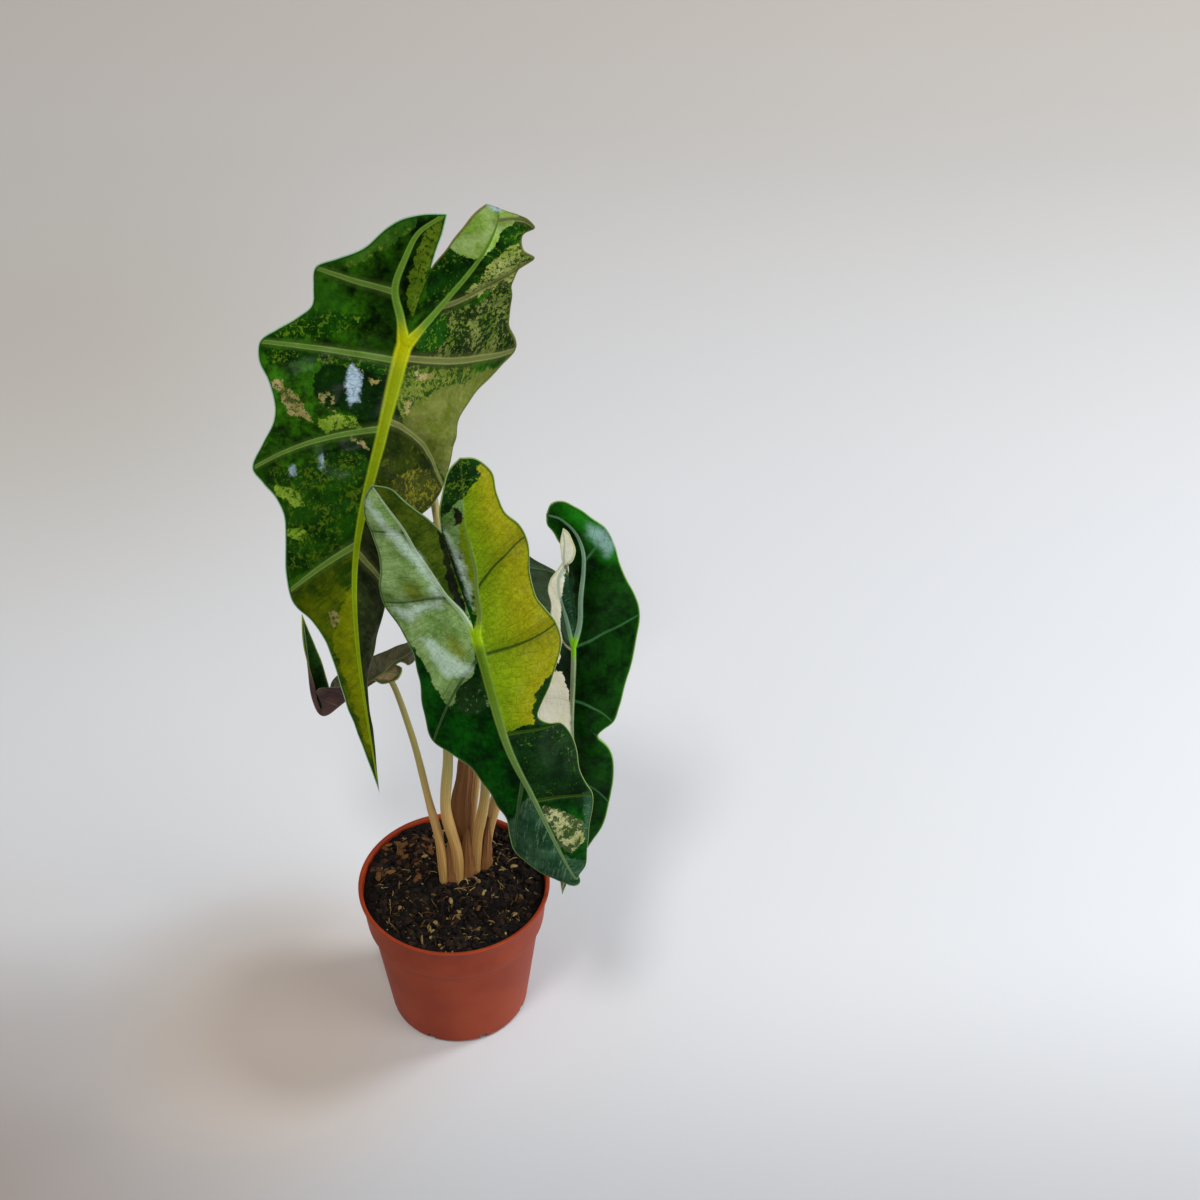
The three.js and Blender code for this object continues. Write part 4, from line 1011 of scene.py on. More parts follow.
# Areas of one look on the flat leaves: the half that they lie on (0 for both), their two colours, their
# flecks and their outlines. Flecks have a colour, how much of the area they leave (0.45 little, 0.6 much),
# their kind and how strongly they cover. In their place, "soft" makes an area's edge soft, and "outward"
# makes its colours run from the rib to the margin.
AREAS = {
    "tall": {
        "lower_left": (-1, ("#2a4c08", "#5f7006"), ("#7c8c12", 0.55, "streaks", 0.3), [
            [(3, 98), (-1, 100), (-15, 109), (-31, 123), (-36, 126), (-24, 142), (-18, 152), (-14, 168),
             (-11, 190), (-7, 212), (-2, 236), (3, 236)]]),
        "lower_olive": (-1, ("#6f7c06", "#87900c"), ("#5a6a08", 0.55, "streaks", 0.5), [
            [(3, 107), (-5, 127), (-12, 147), (-7, 175), (-3, 205), (3, 214)]]),
        "lower_right": (1, ("#1a2210", "#333c1c"), ("#4c5424", 0.56, "streaks", 0.4), [
            [(-2, 90), (38, 92), (36, 114), (34, 132), (24, 148), (18, 160), (13, 174), (9, 190), (5, 212),
             (-2, 236)]]),
        "under_third": (1, ("#1c2c06", "#38460c"), ("#606c14", 0.56, "blots", 0.6), [
            [(2, 39), (13, 37), (26, 41), (42, 51), (56, 62), (44, 85), (7, 92), (2, 62)]]),
        "plain": (1, ("#626f1e", "#808640"), ("#5f701c", 0.56, "streaks", 0.4), [
            [(49, 2), (78, -3), (62, 3), (56, 7), (52, 18), (54, 28), (56, 44), (55, 60), (42, 52),
             (26, 42), (13, 38), (8, 35), (15, 23), (28, 11)]]),
        "speckled": (1, ("#5c781c", "#8c984a"), ("#0d2c07", 0.47, "spots", 0.95), [
            [(17, -19), (34, -27), (48, -50), (58, -30), (68, -13), (76, -6), (43, -1), (14, 3), (6, -1),
             (11, -12)]]),
        "lobe_pale": (1, ("#a0d048", "#ccf08c"), ("#60a420", 0.66, "blots", 0.5), [
            [(2, -53), (1, -66), (3, -76), (7, -86), (17, -88), (27, -84), (27, -75), (23, -71), (25, -64),
             (23, -58), (21, -52), (14, -51), (9, -51)]]),
        "lobe_dark": (1, ("#0a3006", "#1c540c"), ("#729c22", 0.57, "spots", 0.7), [
            [(0, -40), (0, -49), (4, -53), (10, -51), (18, -51), (21, -54), (20, -45), (17, -32), (13, -22),
             (9, -15), (3, -24)],
            [(25, -64), (23, -71), (27, -75), (32, -82), (44, -80), (35, -73), (33, -69), (30, -63),
             (29, -60), (26, -53), (23, -54)],
            [(25, -35), (24, -44), (27, -48), (30, -46), (30, -39), (28, -33)],
            [(6, 2), (10, -13), (17, -17), (24, -10), (21, -4), (14, 2)]]),
        "lobe_tan": (1, ("#92aa40", "#bec870"), ("#16380c", 0.5, "spots", 0.92), [
            [(26, -53), (30, -63), (36, -70), (41, -70), (45, -64), (54, -66), (48, -56), (48, -49),
             (45, -41), (33, -32), (26, -26), (22, -31), (27, -41)]]),
        "under_second": (1, ("#7d8a34", "#5d7420"), ("#1f3f12", 0.49, "spots", 0.9), [
            [(2, 9), (48, 1), (51, 4), (28, 11), (15, 22), (10, 32), (7, 35), (2, 23)]]),
        "cluster": (1, ("#343c14", "#4c541c"), ("#8f8c1e", 0.52, "spots", 0.8), [
            [(11, 65), (22, 57), (36, 55), (48, 62), (44, 76), (28, 80), (14, 75)]]),
        # Painted shade: near-black green by the midrib between the lower side veins, with green blots
        "shaded_near_rib": (-1, ("#061a04", "#0e3006"), ("#22500c", 0.56, "blots", 0.6), [
            [(2, 14), (-14, 13), (-34, 17), (-40, 24), (-36, 33), (-24, 38), (2, 40)],
            [(2, 50), (-12, 52), (-26, 60), (-24, 72), (-14, 80), (2, 84)]]),
        "upper_left": (-1, ("#285410", "#487420"), ("#7c9830", 0.58, "spots", 0.6), [
            [(-48, -26), (-40, -38), (-30, -50), (-18, -64), (-16, -54), (-24, -40), (-34, -27),
             (-46, -20)]]),
        "inner_green": (-1, ("#608418", "#88a828"), ("#16400c", 0.53, "spots", 0.85), [
            [(2, -12), (-2, -50), (-4, -60), (-8, -70), (-12, -60), (-10, -40), (-6, -20)]]),
        "flecked": (-1, ("#072c05", "#1a5008"), ("#6f961a", 0.54, "spots", 0.8), [
            [(-66, 17), (-48, 14), (-29, 12), (-4, 11), (-4, 16), (-28, 17), (-47, 19), (-60, 23)],
            [(-53, 1), (-46, -5), (-32, -6), (-22, -6), (-28, 1), (-40, 8), (-66, 12), (-56, 5)]]),
        "mottled": (-1, ("#0c3006", "#225408"), ("#5c7814", 0.53, "spots", 0.7), [
            [(-62, 60), (-39, 72), (-27, 62), (-13, 56), (-2, 57), (0, 77), (0, 97), (-13, 106), (-27, 116),
             (-40, 124), (-42, 92)]]),
        "bright": (-1, ("#205408", "#306a10"), "soft", [
            [(-56, -13), (-36, -15), (-31, -10), (-39, -4), (-54, -2)],
            [(-48, -24), (-40, -36), (-30, -48), (-20, -58), (-22, -52), (-32, -38), (-42, -24)],
            [(-62, 62), (-50, 72), (-52, 78), (-62, 80)]]),
        "lime": (-1, ("#6c9a1c", "#93b43a"), ("#1c480a", 0.53, "spots", 0.85), [
            [(-31, 45), (-28, 42), (-22, 40), (-14, 39), (-11, 44), (-18, 46), (-25, 50), (-29, 50)],
            [(-48, 81), (-36, 80), (-32, 81), (-29, 84), (-29, 86), (-32, 87), (-41, 85)],
            [(-36, 98), (-29, 96), (-25, 97), (-25, 100), (-29, 101), (-36, 100)]]),
        "tan": (0, ("#86803c", "#b8a872"), ("#2c4c14", 0.52, "spots", 0.85), [
            [(-61, 31), (-54, 29), (-50, 33), (-45, 35), (-40, 40), (-34, 46), (-33, 49), (-38, 47),
             (-42, 45), (-44, 48), (-47, 46), (-48, 42), (-52, 41), (-52, 37), (-56, 34)],
            [(-34, 31), (-32, 31), (-30, 34), (-32, 36)], [(-29, 31), (-25, 36), (-24, 39), (-28, 35)],
            [(-31, 36), (-30, 36), (-23, 43), (-24, 44)], [(-18, 15), (-14, 20), (-6, 20), (-11, 23)],
            [(-18, 49), (-10, 50), (-3, 54), (-11, 52)], [(-13, 133), (-9, 133), (-8, 139), (-12, 141)],
            [(8, 26), (12, 23), (12, 30), (10, 34)], [(10, 10), (21, 8), (20, 10), (11, 14)]]),
    },
    "front": {
        # Pale sage, partly the lobe's own colour and partly made lighter to stand in for its silvery shine:
        # painted highlight
        "pale_left": (-1, ("#78a44c", "#a4c87c"), ("#b8d094", 0.56, "streaks", 0.35), [
            [(-34, -96), (-25, -96), (-16, -84), (-8, -70), (-3, -64), (2, -56), (2, -4), (-4, 13),
             (-8, 21), (-16, 25), (-24, 36), (-29, 23), (-32, 11), (-37, -1), (-52, -15), (-52, -27),
             (-44, -63), (-42, -84)]]),
        "olive_left": (-1, ("#7c9434", "#8ca034"), "soft", [
            [(-28, -33), (-21, -32), (-19, -23), (-26, -21), (-29, -27)],
            [(-14, -3), (-10, -1), (-7, 8), (-12, 11), (-15, 3)]]),
        "inner_olive": (-1, ("#3f5c10", "#6c8420"), ("#203c12", 0.57, "spots", 0.4), [
            [(-30, -94), (-17, -90), (-8, -80), (-2, -70), (4, -61), (3, -50), (1, -28), (-2, -8),
             (-3, -12), (-8, -24), (-12, -39), (-16, -52), (-19, -65), (-24, -78), (-28, -89)]]),
        # Lime to golden towards the margin, partly the blade's own colour and partly made brighter to stand
        # in for light shining through it: painted light
        "lime": (1, ("#80a010", "#9c9c10"), "outward", [
            [(-3, 2), (2, -6), (5, -20), (6, -40), (6, -60), (6, -84), (12, -88), (20, -80), (27, -86),
             (40, -86), (40, -56), (46, -46), (48, -37), (46, -28), (42, -16), (40, -6), (44, 1), (48, 9),
             (48, 17), (40, 28), (30, 33), (25, 38), (20, 45), (18, 54), (12, 52), (5, 52), (-3, 52)]]),
        "green_top": (1, ("#64903a", "#93ba6c"), ("#143c0c", 0.58, "spots", 0.9), [
            [(2, -73), (11, -74), (16, -74), (15, -68), (10, -58), (6, -40), (5, -20), (3, -10), (1, -30),
             (2, -59)]]),
        "dark_lobe": (1, ("#0c2c08", "#1c4410"), ("#6c8f1c", 0.54, "spots", 0.85), [
            [(2, -68), (4, -83), (8, -94), (17, -99), (24, -97), (27, -90), (28, -83), (26, -79), (21, -77),
             (16, -74), (11, -72), (7, -69)]]),
        # Dark streaks along the costae, partly the blade's own marks and partly painted shade in the valley
        # between the lobes
        "valley_shade_streaks": (0, ("#141c0c", "#2c3418"), None, [
            [(-2, -58), (0, -58), (0, -44), (-2, -28), (-1, -14), (0, -6), (-2, -5), (-5, -18), (-6, -31),
             (-4, -43)], [(2, -57), (3, -50), (4, -38), (4, -26), (3, -18), (1, -25), (0, -37), (0, -47)],
            [(10, -71), (14, -70), (12, -61), (9, -61)]]),
        "under_third": (-1, ("#12300c", "#24481c"), ("#7c9468", 0.56, "blots", 0.7), [
            [(-18, 26), (-8, 21), (1, 21), (-2, 36), (-11, 40), (-22, 38)]]),
        "jagged": (1, ("#0c2a08", "#1a3f10"), None, [
            [(34, 30), (27, 40), (19, 49), (21, 56), (17, 57), (17, 46), (22, 37)]]),
        "dark_end": (1, ("#0a260c", "#183c14"), ("#5f8a1c", 0.61, "spots", 0.8), [
            [(-2, 53), (14, 54), (24, 58), (40, 64), (36, 82), (32, 98), (31, 108), (24, 104), (8, 96),
             (-2, 87)]]),
        "cream": (1, ("#98a45a", "#c4c48c"), ("#1f4418", 0.48, "blots", 0.9), [
            [(2, 96), (10, 105), (18, 119), (14, 129), (4, 130), (1, 121), (2, 113), (1, 105)]]),
        # Grey-green with pale streaks, partly the tip's own colour and partly a painted reflection, the grey
        # of light mirrored at a grazing angle
        "tip": (0, ("#20482c", "#3f6848"), ("#7f9c80", 0.56, "streaks", 0.4), [
            [(0, 85), (-6, 92), (-13, 97), (-20, 104), (-27, 122), (-18, 140), (0, 160), (12, 146),
             (1, 128), (1, 105)], [(24, 104), (32, 106), (30, 120), (16, 132), (14, 129), (18, 119)]]),
    },
    "right": {
        "lobe_top": (1, ("#12600a", "#1c7410"), "soft", [
            [(0, -90), (20, -92), (32, -72), (34, -52), (20, -50), (13, -66), (2, -76)]]),
        "cream": (-1, ("#ece8c4", "#fbf9ea"), ("#d0d09a", 0.62, "blots", 0.5), [
            [(-40, -50), (-10, -90), (30, -90), (30, -50), (10, -46), (1, -48), (-1, -43), (-5, -27),
             (-10, -9), (-12, -3), (-12, 12), (-30, 13)],
            [(-34, 18), (-17, 17), (-9, 16), (-3, 24), (1, 44), (1, 76), (-14, 84), (-36, 74), (-42, 50)]]),
        "strip_dark": (-1, ("#1c4628", "#406c4a"), ("#7f9a84", 0.6, "streaks", 0.5), [
            [(1, -49), (-2, -40), (-6, -26), (-10, -8), (-7, 0), (2, 0), (6, -10), (15, -39), (15, -57),
             (8, -54)]]),
        "strip_right": (1, ("#1c4428", "#2c5a34"), None, [
            [(-4, -50), (4, -48), (3, -20), (2, 0), (-4, -4)]]),
    },
    "back": {
        # Painted shade where the lobe's end curls over
        "hollow": (-1, ("#1c2a1c", "#2c3c28"), None, [
            [(-20, -18), (-36, -23), (-33, -10), (-20, -10)]]),
        "pale": (0, ("#5f7458", "#7c8f70"), ("#4c6040", 0.55, "streaks", 0.6), [
            [(-21, -28), (-27, -20), (-37, -23), (-42, -9), (-30, 0), (-24, -5)],
            [(29, -70), (17, -66), (17, -53), (24, -46), (36, -52)]]),
    },
    "small": {
        "dull": (0, ("#55543a", "#77745a"), ("#3c4428", 0.56, "streaks", 0.6), [
            [(-16, -36), (16, -36), (22, 14), (22, 36), (-20, 40)]]),
        "bronze": (1, ("#4c3a38", "#6c4e46"), ("#242a20", 0.6, "streaks", 0.5), [
            [(1, 32), (22, 24), (20, 40), (10, 52), (8, 84), (1, 90)]]),
        "lobe": (1, ("#94824a", "#b49a66"), ("#3c3c1c", 0.62, "blots", 0.5), [
            [(3, -12), (9, -15), (12, -12), (11, -6), (8, -1), (3, 2)]]),
    },
}

# Painted highlights: pale patches that stand in for the light mirrored by the waxy skin. Each has the half it
# lies on, its look and its outlines. A look says how much they cover, their colour, how streaked they are and
# how their edges run.
PAINTED_SHEENS = {
    "tall": (0, (0.8, "#9fb4c4", 7, (-0.5, 2)), [
        [(-22, 14), (-15, 19), (-14, 32), (-18, 36), (-23, 28), (-24, 19)],
        [(-41, 69), (-37, 70), (-36, 75), (-39, 75)],
        [(-27, 60), (-24, 61), (-21, 72), (-25, 68)],
        [(10, -84), (19, -82), (17, -77), (8, -80)]]),
    "front": (0, (0.8, "#b8d0c0", 6, (-2, 3)), [
        [(-31, -82), (-25, -65), (-18, -56), (-13, -47), (-11, -37), (-9, -24), (-15, -23), (-15, -35),
         (-19, -44), (-24, -51), (-29, -60), (-33, -70), (-35, -78)],
        [(-40, -17), (-29, -19), (-12, -21), (-12, -17), (-23, -15), (-32, -10), (-38, -13)],
        [(-30, -3), (-24, -2), (-15, 8), (-6, 16), (-11, 20), (-21, 20), (-26, 11)],
        [(2, -62), (5, -52), (7, -38), (6, -24), (3, -14), (3, -30), (3, -46)]]),
    "right": (1, (0.65, "#9cbcbc", 5, (-3, 3)), [
        [(14, -72), (24, -67), (27, -59), (23, -54), (18, -61), (14, -66)]]),
    "back": (1, (0.3, "#8fa8a0", 5, (-3, 3)), [
        [(18, -58), (26, -52), (24, -40), (18, -44)]]),
    "small": (1, (0.2, "#a8a890", 5, (-2, 2)), [
        [(6, -12), (10, -12), (9, -7), (6, -7)]]),
}

# How each blade looks. Tone is the brightness of it all. Shade is painted shade, from the rib (darker) to the
# margin, and hollow is painted shade from a vein, where the skin dips, to halfway between two. Base holds the
# skin's two colours, under those of the underside, and vein, costa, margin and band (beside the margin) those
# of the left and the right half. The ribs leave the colour of the stalk's point where turn says, the midrib
# has a second colour towards the tip, and the right costa fades where fade says. Cells are the net's coarse
# and fine meshes, net is its strength and halo that of the glow beside the veins. Glow is the strength of a
# painted glow on the cream parts, as if light came through them.
SHARED_LOOK = {
    "gloss": 0.12, "glow": 0, "shade": (0.9, 1.1), "hollow": (0.9, 1.05), "cells": (0.2, 0.6),
    "turn": (3, 12), "net": 0.2, "halo": 0.1, "fade": (50, 90), "under": ("#5c7a3c", "#7c9458"),
}
LEAF_LOOKS = {
    "tall": SHARED_LOOK | {
        "gloss": 0.02, "tone": 0.56, "shade": (0.45, 1.6), "hollow": (0.7, 1.12), "cells": (0.17, 0.55),
        "base": ("#0a2002", "#2f6408"), "stalk_point": "#b8bc04", "midrib": ("#90a008", "#88a00e"),
        "costa": ("#6c9430", "#6c9430"), "turn": (3, 16), "vein": ("#7ca045", "#8c9352"),
        "margin": ("#b4dcbc", "#98905c"), "band": ("#17520e", "#5c6a2c"), "net": 0.18, "halo": 0.3,
        "fade": (80, 100),
    },
    "front": SHARED_LOOK | {
        "gloss": 0.03, "tone": 0.62, "shade": (0.7, 1.3), "hollow": (0.8, 1.08), "cells": (0.28, 0.8),
        "base": ("#042806", "#0c5208"), "stalk_point": "#9cc414", "midrib": ("#64861c", "#6c8850"),
        # The pale silver of the left costa is partly its own colour and partly a painted highlight
        "costa": ("#acc89c", "#6c8438"), "turn": (2, 9), "vein": ("#4c6c3c", "#3a5410"),
        "margin": ("#8aa86a", "#8fa860"), "band": ("#33562a", "#1f4210"), "net": 0.75, "halo": 0.0,
        "fade": (35, 75),
    },
    "right": SHARED_LOOK | {
        "gloss": 0.1, "glow": 0.26, "tone": 0.9, "shade": (0.7, 1.3), "hollow": (0.85, 1.05),
        "cells": (0.17, 0.55), "base": ("#041c02", "#0e3c07"), "stalk_point": "#7fc416",
        "midrib": ("#9aae80", "#a0a890"), "costa": ("#7c9c80", "#7c9c80"), "turn": (3, 9),
        "vein": ("#dcd8b0", "#3f7040"), "margin": ("#b0b468", "#7c9c50"), "band": ("#9aa85c", "#1c5014"),
        "net": 0.08,
    },
    "back": SHARED_LOOK | {
        "tone": 0.75, "base": ("#2c4430", "#46604a"), "stalk_point": "#86a050",
        "midrib": ("#7c9468", "#7c9468"), "costa": ("#7c9468", "#7c9468"), "vein": ("#6c8460", "#6c8460"),
        "margin": ("#7c9050", "#7c9050"), "band": ("#3c5438", "#3c5438"), "under": ("#4c6448", "#647c5c"),
    },
    "small": SHARED_LOOK | {
        "tone": 0.8, "base": ("#0c2408", "#203f14"), "stalk_point": "#869044",
        "midrib": ("#6c8440", "#6c7c44"), "costa": ("#6c7c44", "#6c7c44"), "vein": ("#55704a", "#55704a"),
        "margin": ("#86903c", "#86903c"), "band": ("#34482c", "#34482c"), "under": ("#4a383a", "#644c46"),
    },
}


class LeafFinish(Finish):
    """A blade's skin: areas with ragged edges, veins, a fine net, a pale margin and a waxy gloss."""

    def __init__(self, name):
        super().__init__(f"leaf_{name}", specular_ior_level=0.01, coat_roughness=0.2)
        self.name, self.look = name, LEAF_LOOKS[name]
        self.flat, self.strip = (self.attribute(key, "Vector") for key in ("flat", "strip"))
        self.across, self.right, self.upper, self.to_rib, self.to_vein = (
            self.attribute(key) for key in ("across", "right", "upper", "rib", "vein"))

        # Ragged moves edges by millimetres. Soft changes slowly from place to place, and tint quickly.
        self.ragged = (self.noise(self.flat, 0.2, 8, 0.72) - 0.5) * 10
        self.soft = self.ramp(self.noise(self.flat, 0.075, 6, 0.66), 0.36, 0.62)
        self.tint = self.noise(self.flat, 0.35, 5, 0.6)
        patches = self.noise(self.flat, 0.05, 3, 0.5) - 0.5
        groups = self.noise(self.flat, 0.09, 3, 0.5) - 0.5
        self.kinds = {
            "blots": self.noise(self.flat, 0.2, 10, 0.76, 0.3) + patches * 0.3,
            "spots": self.noise(self.flat, 0.45, 9, 0.76, 0.4) + groups * 0.35,
            "streaks": self.noise(self.strip * (0.12, 1.0, 1), 0.8, 5, 0.62),
        }
        self.net = self.fine_net()

    def by_half(self, key):
        """The look's colour of the left half on that half, and that of the right half on the other."""
        return self.mix(*self.look[key], self.right)

    def area(self, area, soft=False):
        """1 inside the area and 0 outside it, with a ragged or a soft edge."""
        depth = self.attribute(f"area_{area}")
        if soft:
            return self.ramp(depth + self.ragged * 0.3, -4, 3)
        return self.ramp(depth + self.ragged, -0.3, 0.3)

    def patchwork(self):
        """The blade's own colour with its areas on it."""
        skin = self.mix(*self.look["base"], self.soft)
        # Painted shade: darker towards the rib and lighter towards the margin
        skin = skin * self.ramp(self.across + (self.tint - 0.5) * 0.5, 0.1, 0.9, *self.look["shade"])
        for area, (_, colours, flecks, _) in AREAS[self.name].items():
            change = self.ramp(self.across, 0.1, 0.8) if flecks == "outward" else self.soft
            inside = self.mix(*colours, change)
            if isinstance(flecks, tuple):
                fleck, left, kind, strength = flecks
                spread = self.ramp(self.kinds[kind] + (self.tint - 0.5) * 0.12, left, left + 0.03)
                inside = self.mix(inside, fleck, spread * strength)
            skin = self.mix(skin, inside, self.area(area, flecks == "soft"))
        skin = skin * self.ramp(self.tint, 0.3, 0.7, 0.85, 1.14)
        # Painted shade: darker by the veins, where the skin dips, and lighter on the bulges between them
        return skin * self.ramp(self.attribute("between"), 0.05, 0.7, *self.look["hollow"])

    def fine_net(self):
        """Threads that run outward between the side veins, with coarse and fine meshes."""
        waves = self.along(self.strip, "Y") * 0.16 + self.noise(self.flat, 0.05, 3, 0.5) * 1.5
        thread = self.node("ShaderNodeMath", {"operation": "PINGPONG"}, {0: waves, 1: 0.5})
        warped = self.flat + (self.noise(self.flat, 0.2, 4, 0.6) - 0.5) * 8
        coarse = self.ramp(self.cells(warped, self.look["cells"][0]), 0, 0.07, 1, 0)
        fine = self.ramp(self.cells(warped, self.look["cells"][1]), 0, 0.09, 1, 0)
        return self.most(self.most(self.ramp(thread, 0, 0.07, 1, 0) * 0.9, coarse * 0.8), fine * 0.5)

    def with_veins(self, skin):
        skin = self.mix(skin, skin * 0.45, self.net * self.look["net"])
        tone = self.by_half("vein")
        skin = self.mix(skin, tone * 0.55, self.ramp(self.to_vein, 0.9, 2.6, self.look["halo"], 0))
        # Painted highlights along both edges of each raised vein, which is darker in its middle
        edge = self.ramp(self.to_vein, 0.35, 0.7) * self.ramp(self.to_vein, 0.8, 1.2, 1, 0)
        tone = tone * self.ramp(edge, 0, 1, 0.72, 1.4)
        return self.mix(skin, tone, self.ramp(self.to_vein, 0.45, 1.05, 1, 0) * 0.9)

    def with_ribs(self, skin):
        onward, away = self.along(self.flat, "Y"), self.distance(self.flat)
        on_midrib, beyond = self.ramp(onward, -6, 4), self.ramp(away, *self.look["turn"])
        lobe = self.mix(self.look["stalk_point"], self.by_half("costa"), beyond)
        stem = self.mix(self.look["stalk_point"], self.look["midrib"][0], beyond)
        stem = self.mix(stem, self.look["midrib"][1], self.ramp(onward, 20, 100))
        tone = self.mix(lobe, stem, on_midrib)
        # Painted highlights along both edges of each raised rib
        edge = self.ramp(self.to_rib, 0.45, 0.7) * self.ramp(self.to_rib, 0.85, 1.15, 1, 0)
        tone = self.mix(tone, tone * 1.3 + 0.01, edge)
        seen = self.most(self.ramp(away, *self.look["fade"], 1, 0.2), on_midrib)
        seen = self.most(seen, 1 - self.right)
        return self.mix(skin, tone, self.ramp(self.to_rib, 0.7, 1.2, 1, 0) * seen)

    def with_margin(self, skin):
        to_margin = self.attribute("margin")
        band = self.ramp(to_margin + self.ragged * 0.06, 0.9, 1.7, 1, 0)
        skin = self.mix(skin, self.by_half("band"), band * 0.75)
        # The pale line on the very margin is partly the rim's own colour and partly a painted highlight where
        # the rounded edge catches the light
        return self.mix(skin, self.by_half("margin"), self.ramp(to_margin, 0.35, 0.75, 1, 0))

    def underside(self):
        """Paler and duller, with pale ribs and veins."""
        skin = self.mix(*self.look["under"], self.soft)
        skin = self.mix(skin, skin * 0.7, self.net * 0.5)
        ribs, veins = self.ramp(self.to_rib, 0.7, 1.3, 1, 0), self.ramp(self.to_vein, 0.6, 1.2, 0.7, 0)
        return self.mix(skin, skin * 1.5 + 0.02, self.most(ribs, veins))

    def painted_cream_glow(self):
        """A painted glow: the cream parts give off a little light, as if light came through them."""
        self.shader.inputs["Emission Strength"].default_value = self.look["glow"]
        cream = self.area("cream") * self.upper * (1 - self.area("strip_dark"))
        self.feed(self.shader.inputs["Emission Color"], self.mix((0, 0, 0, 1), "#fafae0", cream))

    def finished(self):
        skin = self.with_margin(self.with_ribs(self.with_veins(self.patchwork())))
        skin = self.mix(self.underside(), skin, self.upper) * self.look["tone"]
        # Painted highlights: a pale reflection colour mixed into the skin within their outlines, with a
        # little more coat there
        _, (cover, mirror, streaked, edges), _ = PAINTED_SHEENS[self.name]
        painted_sheen = self.attribute("painted_sheen") + self.ragged * 0.3 + (self.kinds["blots"] - 0.5) * streaked
        painted_sheen = self.ramp(painted_sheen, *edges) * self.upper * cover * self.ramp(self.net, 0, 1, 1, 0.5)
        # The painted glow on the cream parts
        if self.look["glow"]:
            self.painted_cream_glow()
        self.feed(self.shader.inputs["Coat Weight"], painted_sheen * 0.2 + self.look["gloss"])
        rough = self.ramp(self.tint, 0.3, 0.7, 0.26, 0.4) + (1 - self.upper) * 0.25
        relief = self.noise(self.flat, 0.16, 4, 0.55) * 3 + self.tint - self.net * 0.25
        return self.paint(self.mix(skin, mirror, painted_sheen), rough, relief, 0.0005, 0.7)


def pot_finish():
    """Matte terracotta coloured plastic, with light scuffs and dust."""
    finish = Finish("terracotta_plastic", specular_ior_level=0.25)
    place = finish.own_place()
    cloud = finish.noise(place, 30, 5, 0.6)
    grain = finish.noise(place, 900, 2, 0.5)
    scuff = finish.ramp(finish.noise(place * (1, 1, 7), 90, 6, 0.7), 0.6, 0.75)
    base = finish.mix("#802806", "#8e3410", finish.ramp(cloud, 0.35, 0.65))
    base = finish.mix(base, "#a8583a", scuff * 0.2)
    rough = 0.48 + cloud * 0.12
    return finish.paint(base, rough, grain + cloud * 2, 0.0001, 0.35)


def soil_finish(name, dark, light):
    """Damp, dark and crumbly."""
    finish = Finish(name, specular_ior_level=0.15)
    place = finish.own_place()
    lumps = finish.noise(place, 260, 8, 0.7)
    base = finish.mix(dark, light, finish.ramp(lumps, 0.45, 0.7))
    return finish.paint(base, 0.92 - lumps * 0.2, lumps, 0.001, 0.9)


def toned_finish(name, stops, roughness, streak=0.25):
    """Small pieces that each have a tone of their own between the given colours."""
    finish = Finish(name, specular_ior_level=0.2)
    place = finish.own_place()
    tone = finish.attribute("tone") + (finish.noise(place, 500, 4, 0.6) - 0.5) * streak
    base = finish.mix(stops[0], stops[1], finish.ramp(tone, 0.0, 0.5))
    base = finish.mix(base, stops[2], finish.ramp(tone, 0.5, 1.0))
    return finish.paint(base, roughness, finish.noise(place, 900, 4, 0.6), 0.0004, 0.8)


def stalk_finish():
    """Tan and straw-coloured at the foot, then olive and pale straw, with fine lengthwise streaks."""
    finish = Finish("leaf_stalk", coat_weight=0.15, coat_roughness=0.3)
    rise = finish.attribute("rise")
    around = finish.attribute("round", "Vector")
    streaks = finish.noise(around * (4, 4, 0.35), 3, 5, 0.6)
    blotch = finish.noise(around, 1.6, 4, 0.6)
    foot = finish.mix("#8c6430", "#cca460", finish.ramp(streaks, 0.35, 0.65))
    upper = finish.mix("#7c7434", "#a89c58", finish.ramp(streaks, 0.35, 0.65))
    base = finish.mix(foot, upper, finish.ramp(rise + (blotch - 0.5) * 40, 40, 100))
    return finish.paint(base, 0.45 + streaks * 0.15, streaks, 0.0003, 0.5)


def husk_finish():
    """Dry, dark red-brown and streaked."""
    finish = Finish("dry_husk")
    grain = finish.attribute("grain", "Vector")
    streaks = finish.noise(grain * (9, 0.8, 1), 3, 6, 0.65)
    base = finish.mix("#54300c", "#9a6630", finish.ramp(streaks, 0.35, 0.68))
    base = finish.mix(base, "#b0884c", finish.ramp(finish.noise(grain * (20, 2, 1), 2, 4, 0.6), 0.6, 0.75))
    return finish.paint(base, 0.7, streaks, 0.0006, 0.8)


def corm_finish():
    """Brown and fibrous."""
    finish = Finish("corm_skin")
    place = finish.own_place()
    rings = finish.noise(place * (1, 1, 4), 160, 6, 0.65)
    base = finish.mix("#4a3424", "#8f6e50", finish.ramp(rings, 0.35, 0.68))
    return finish.paint(base, 0.8, rings, 0.0008, 0.8)


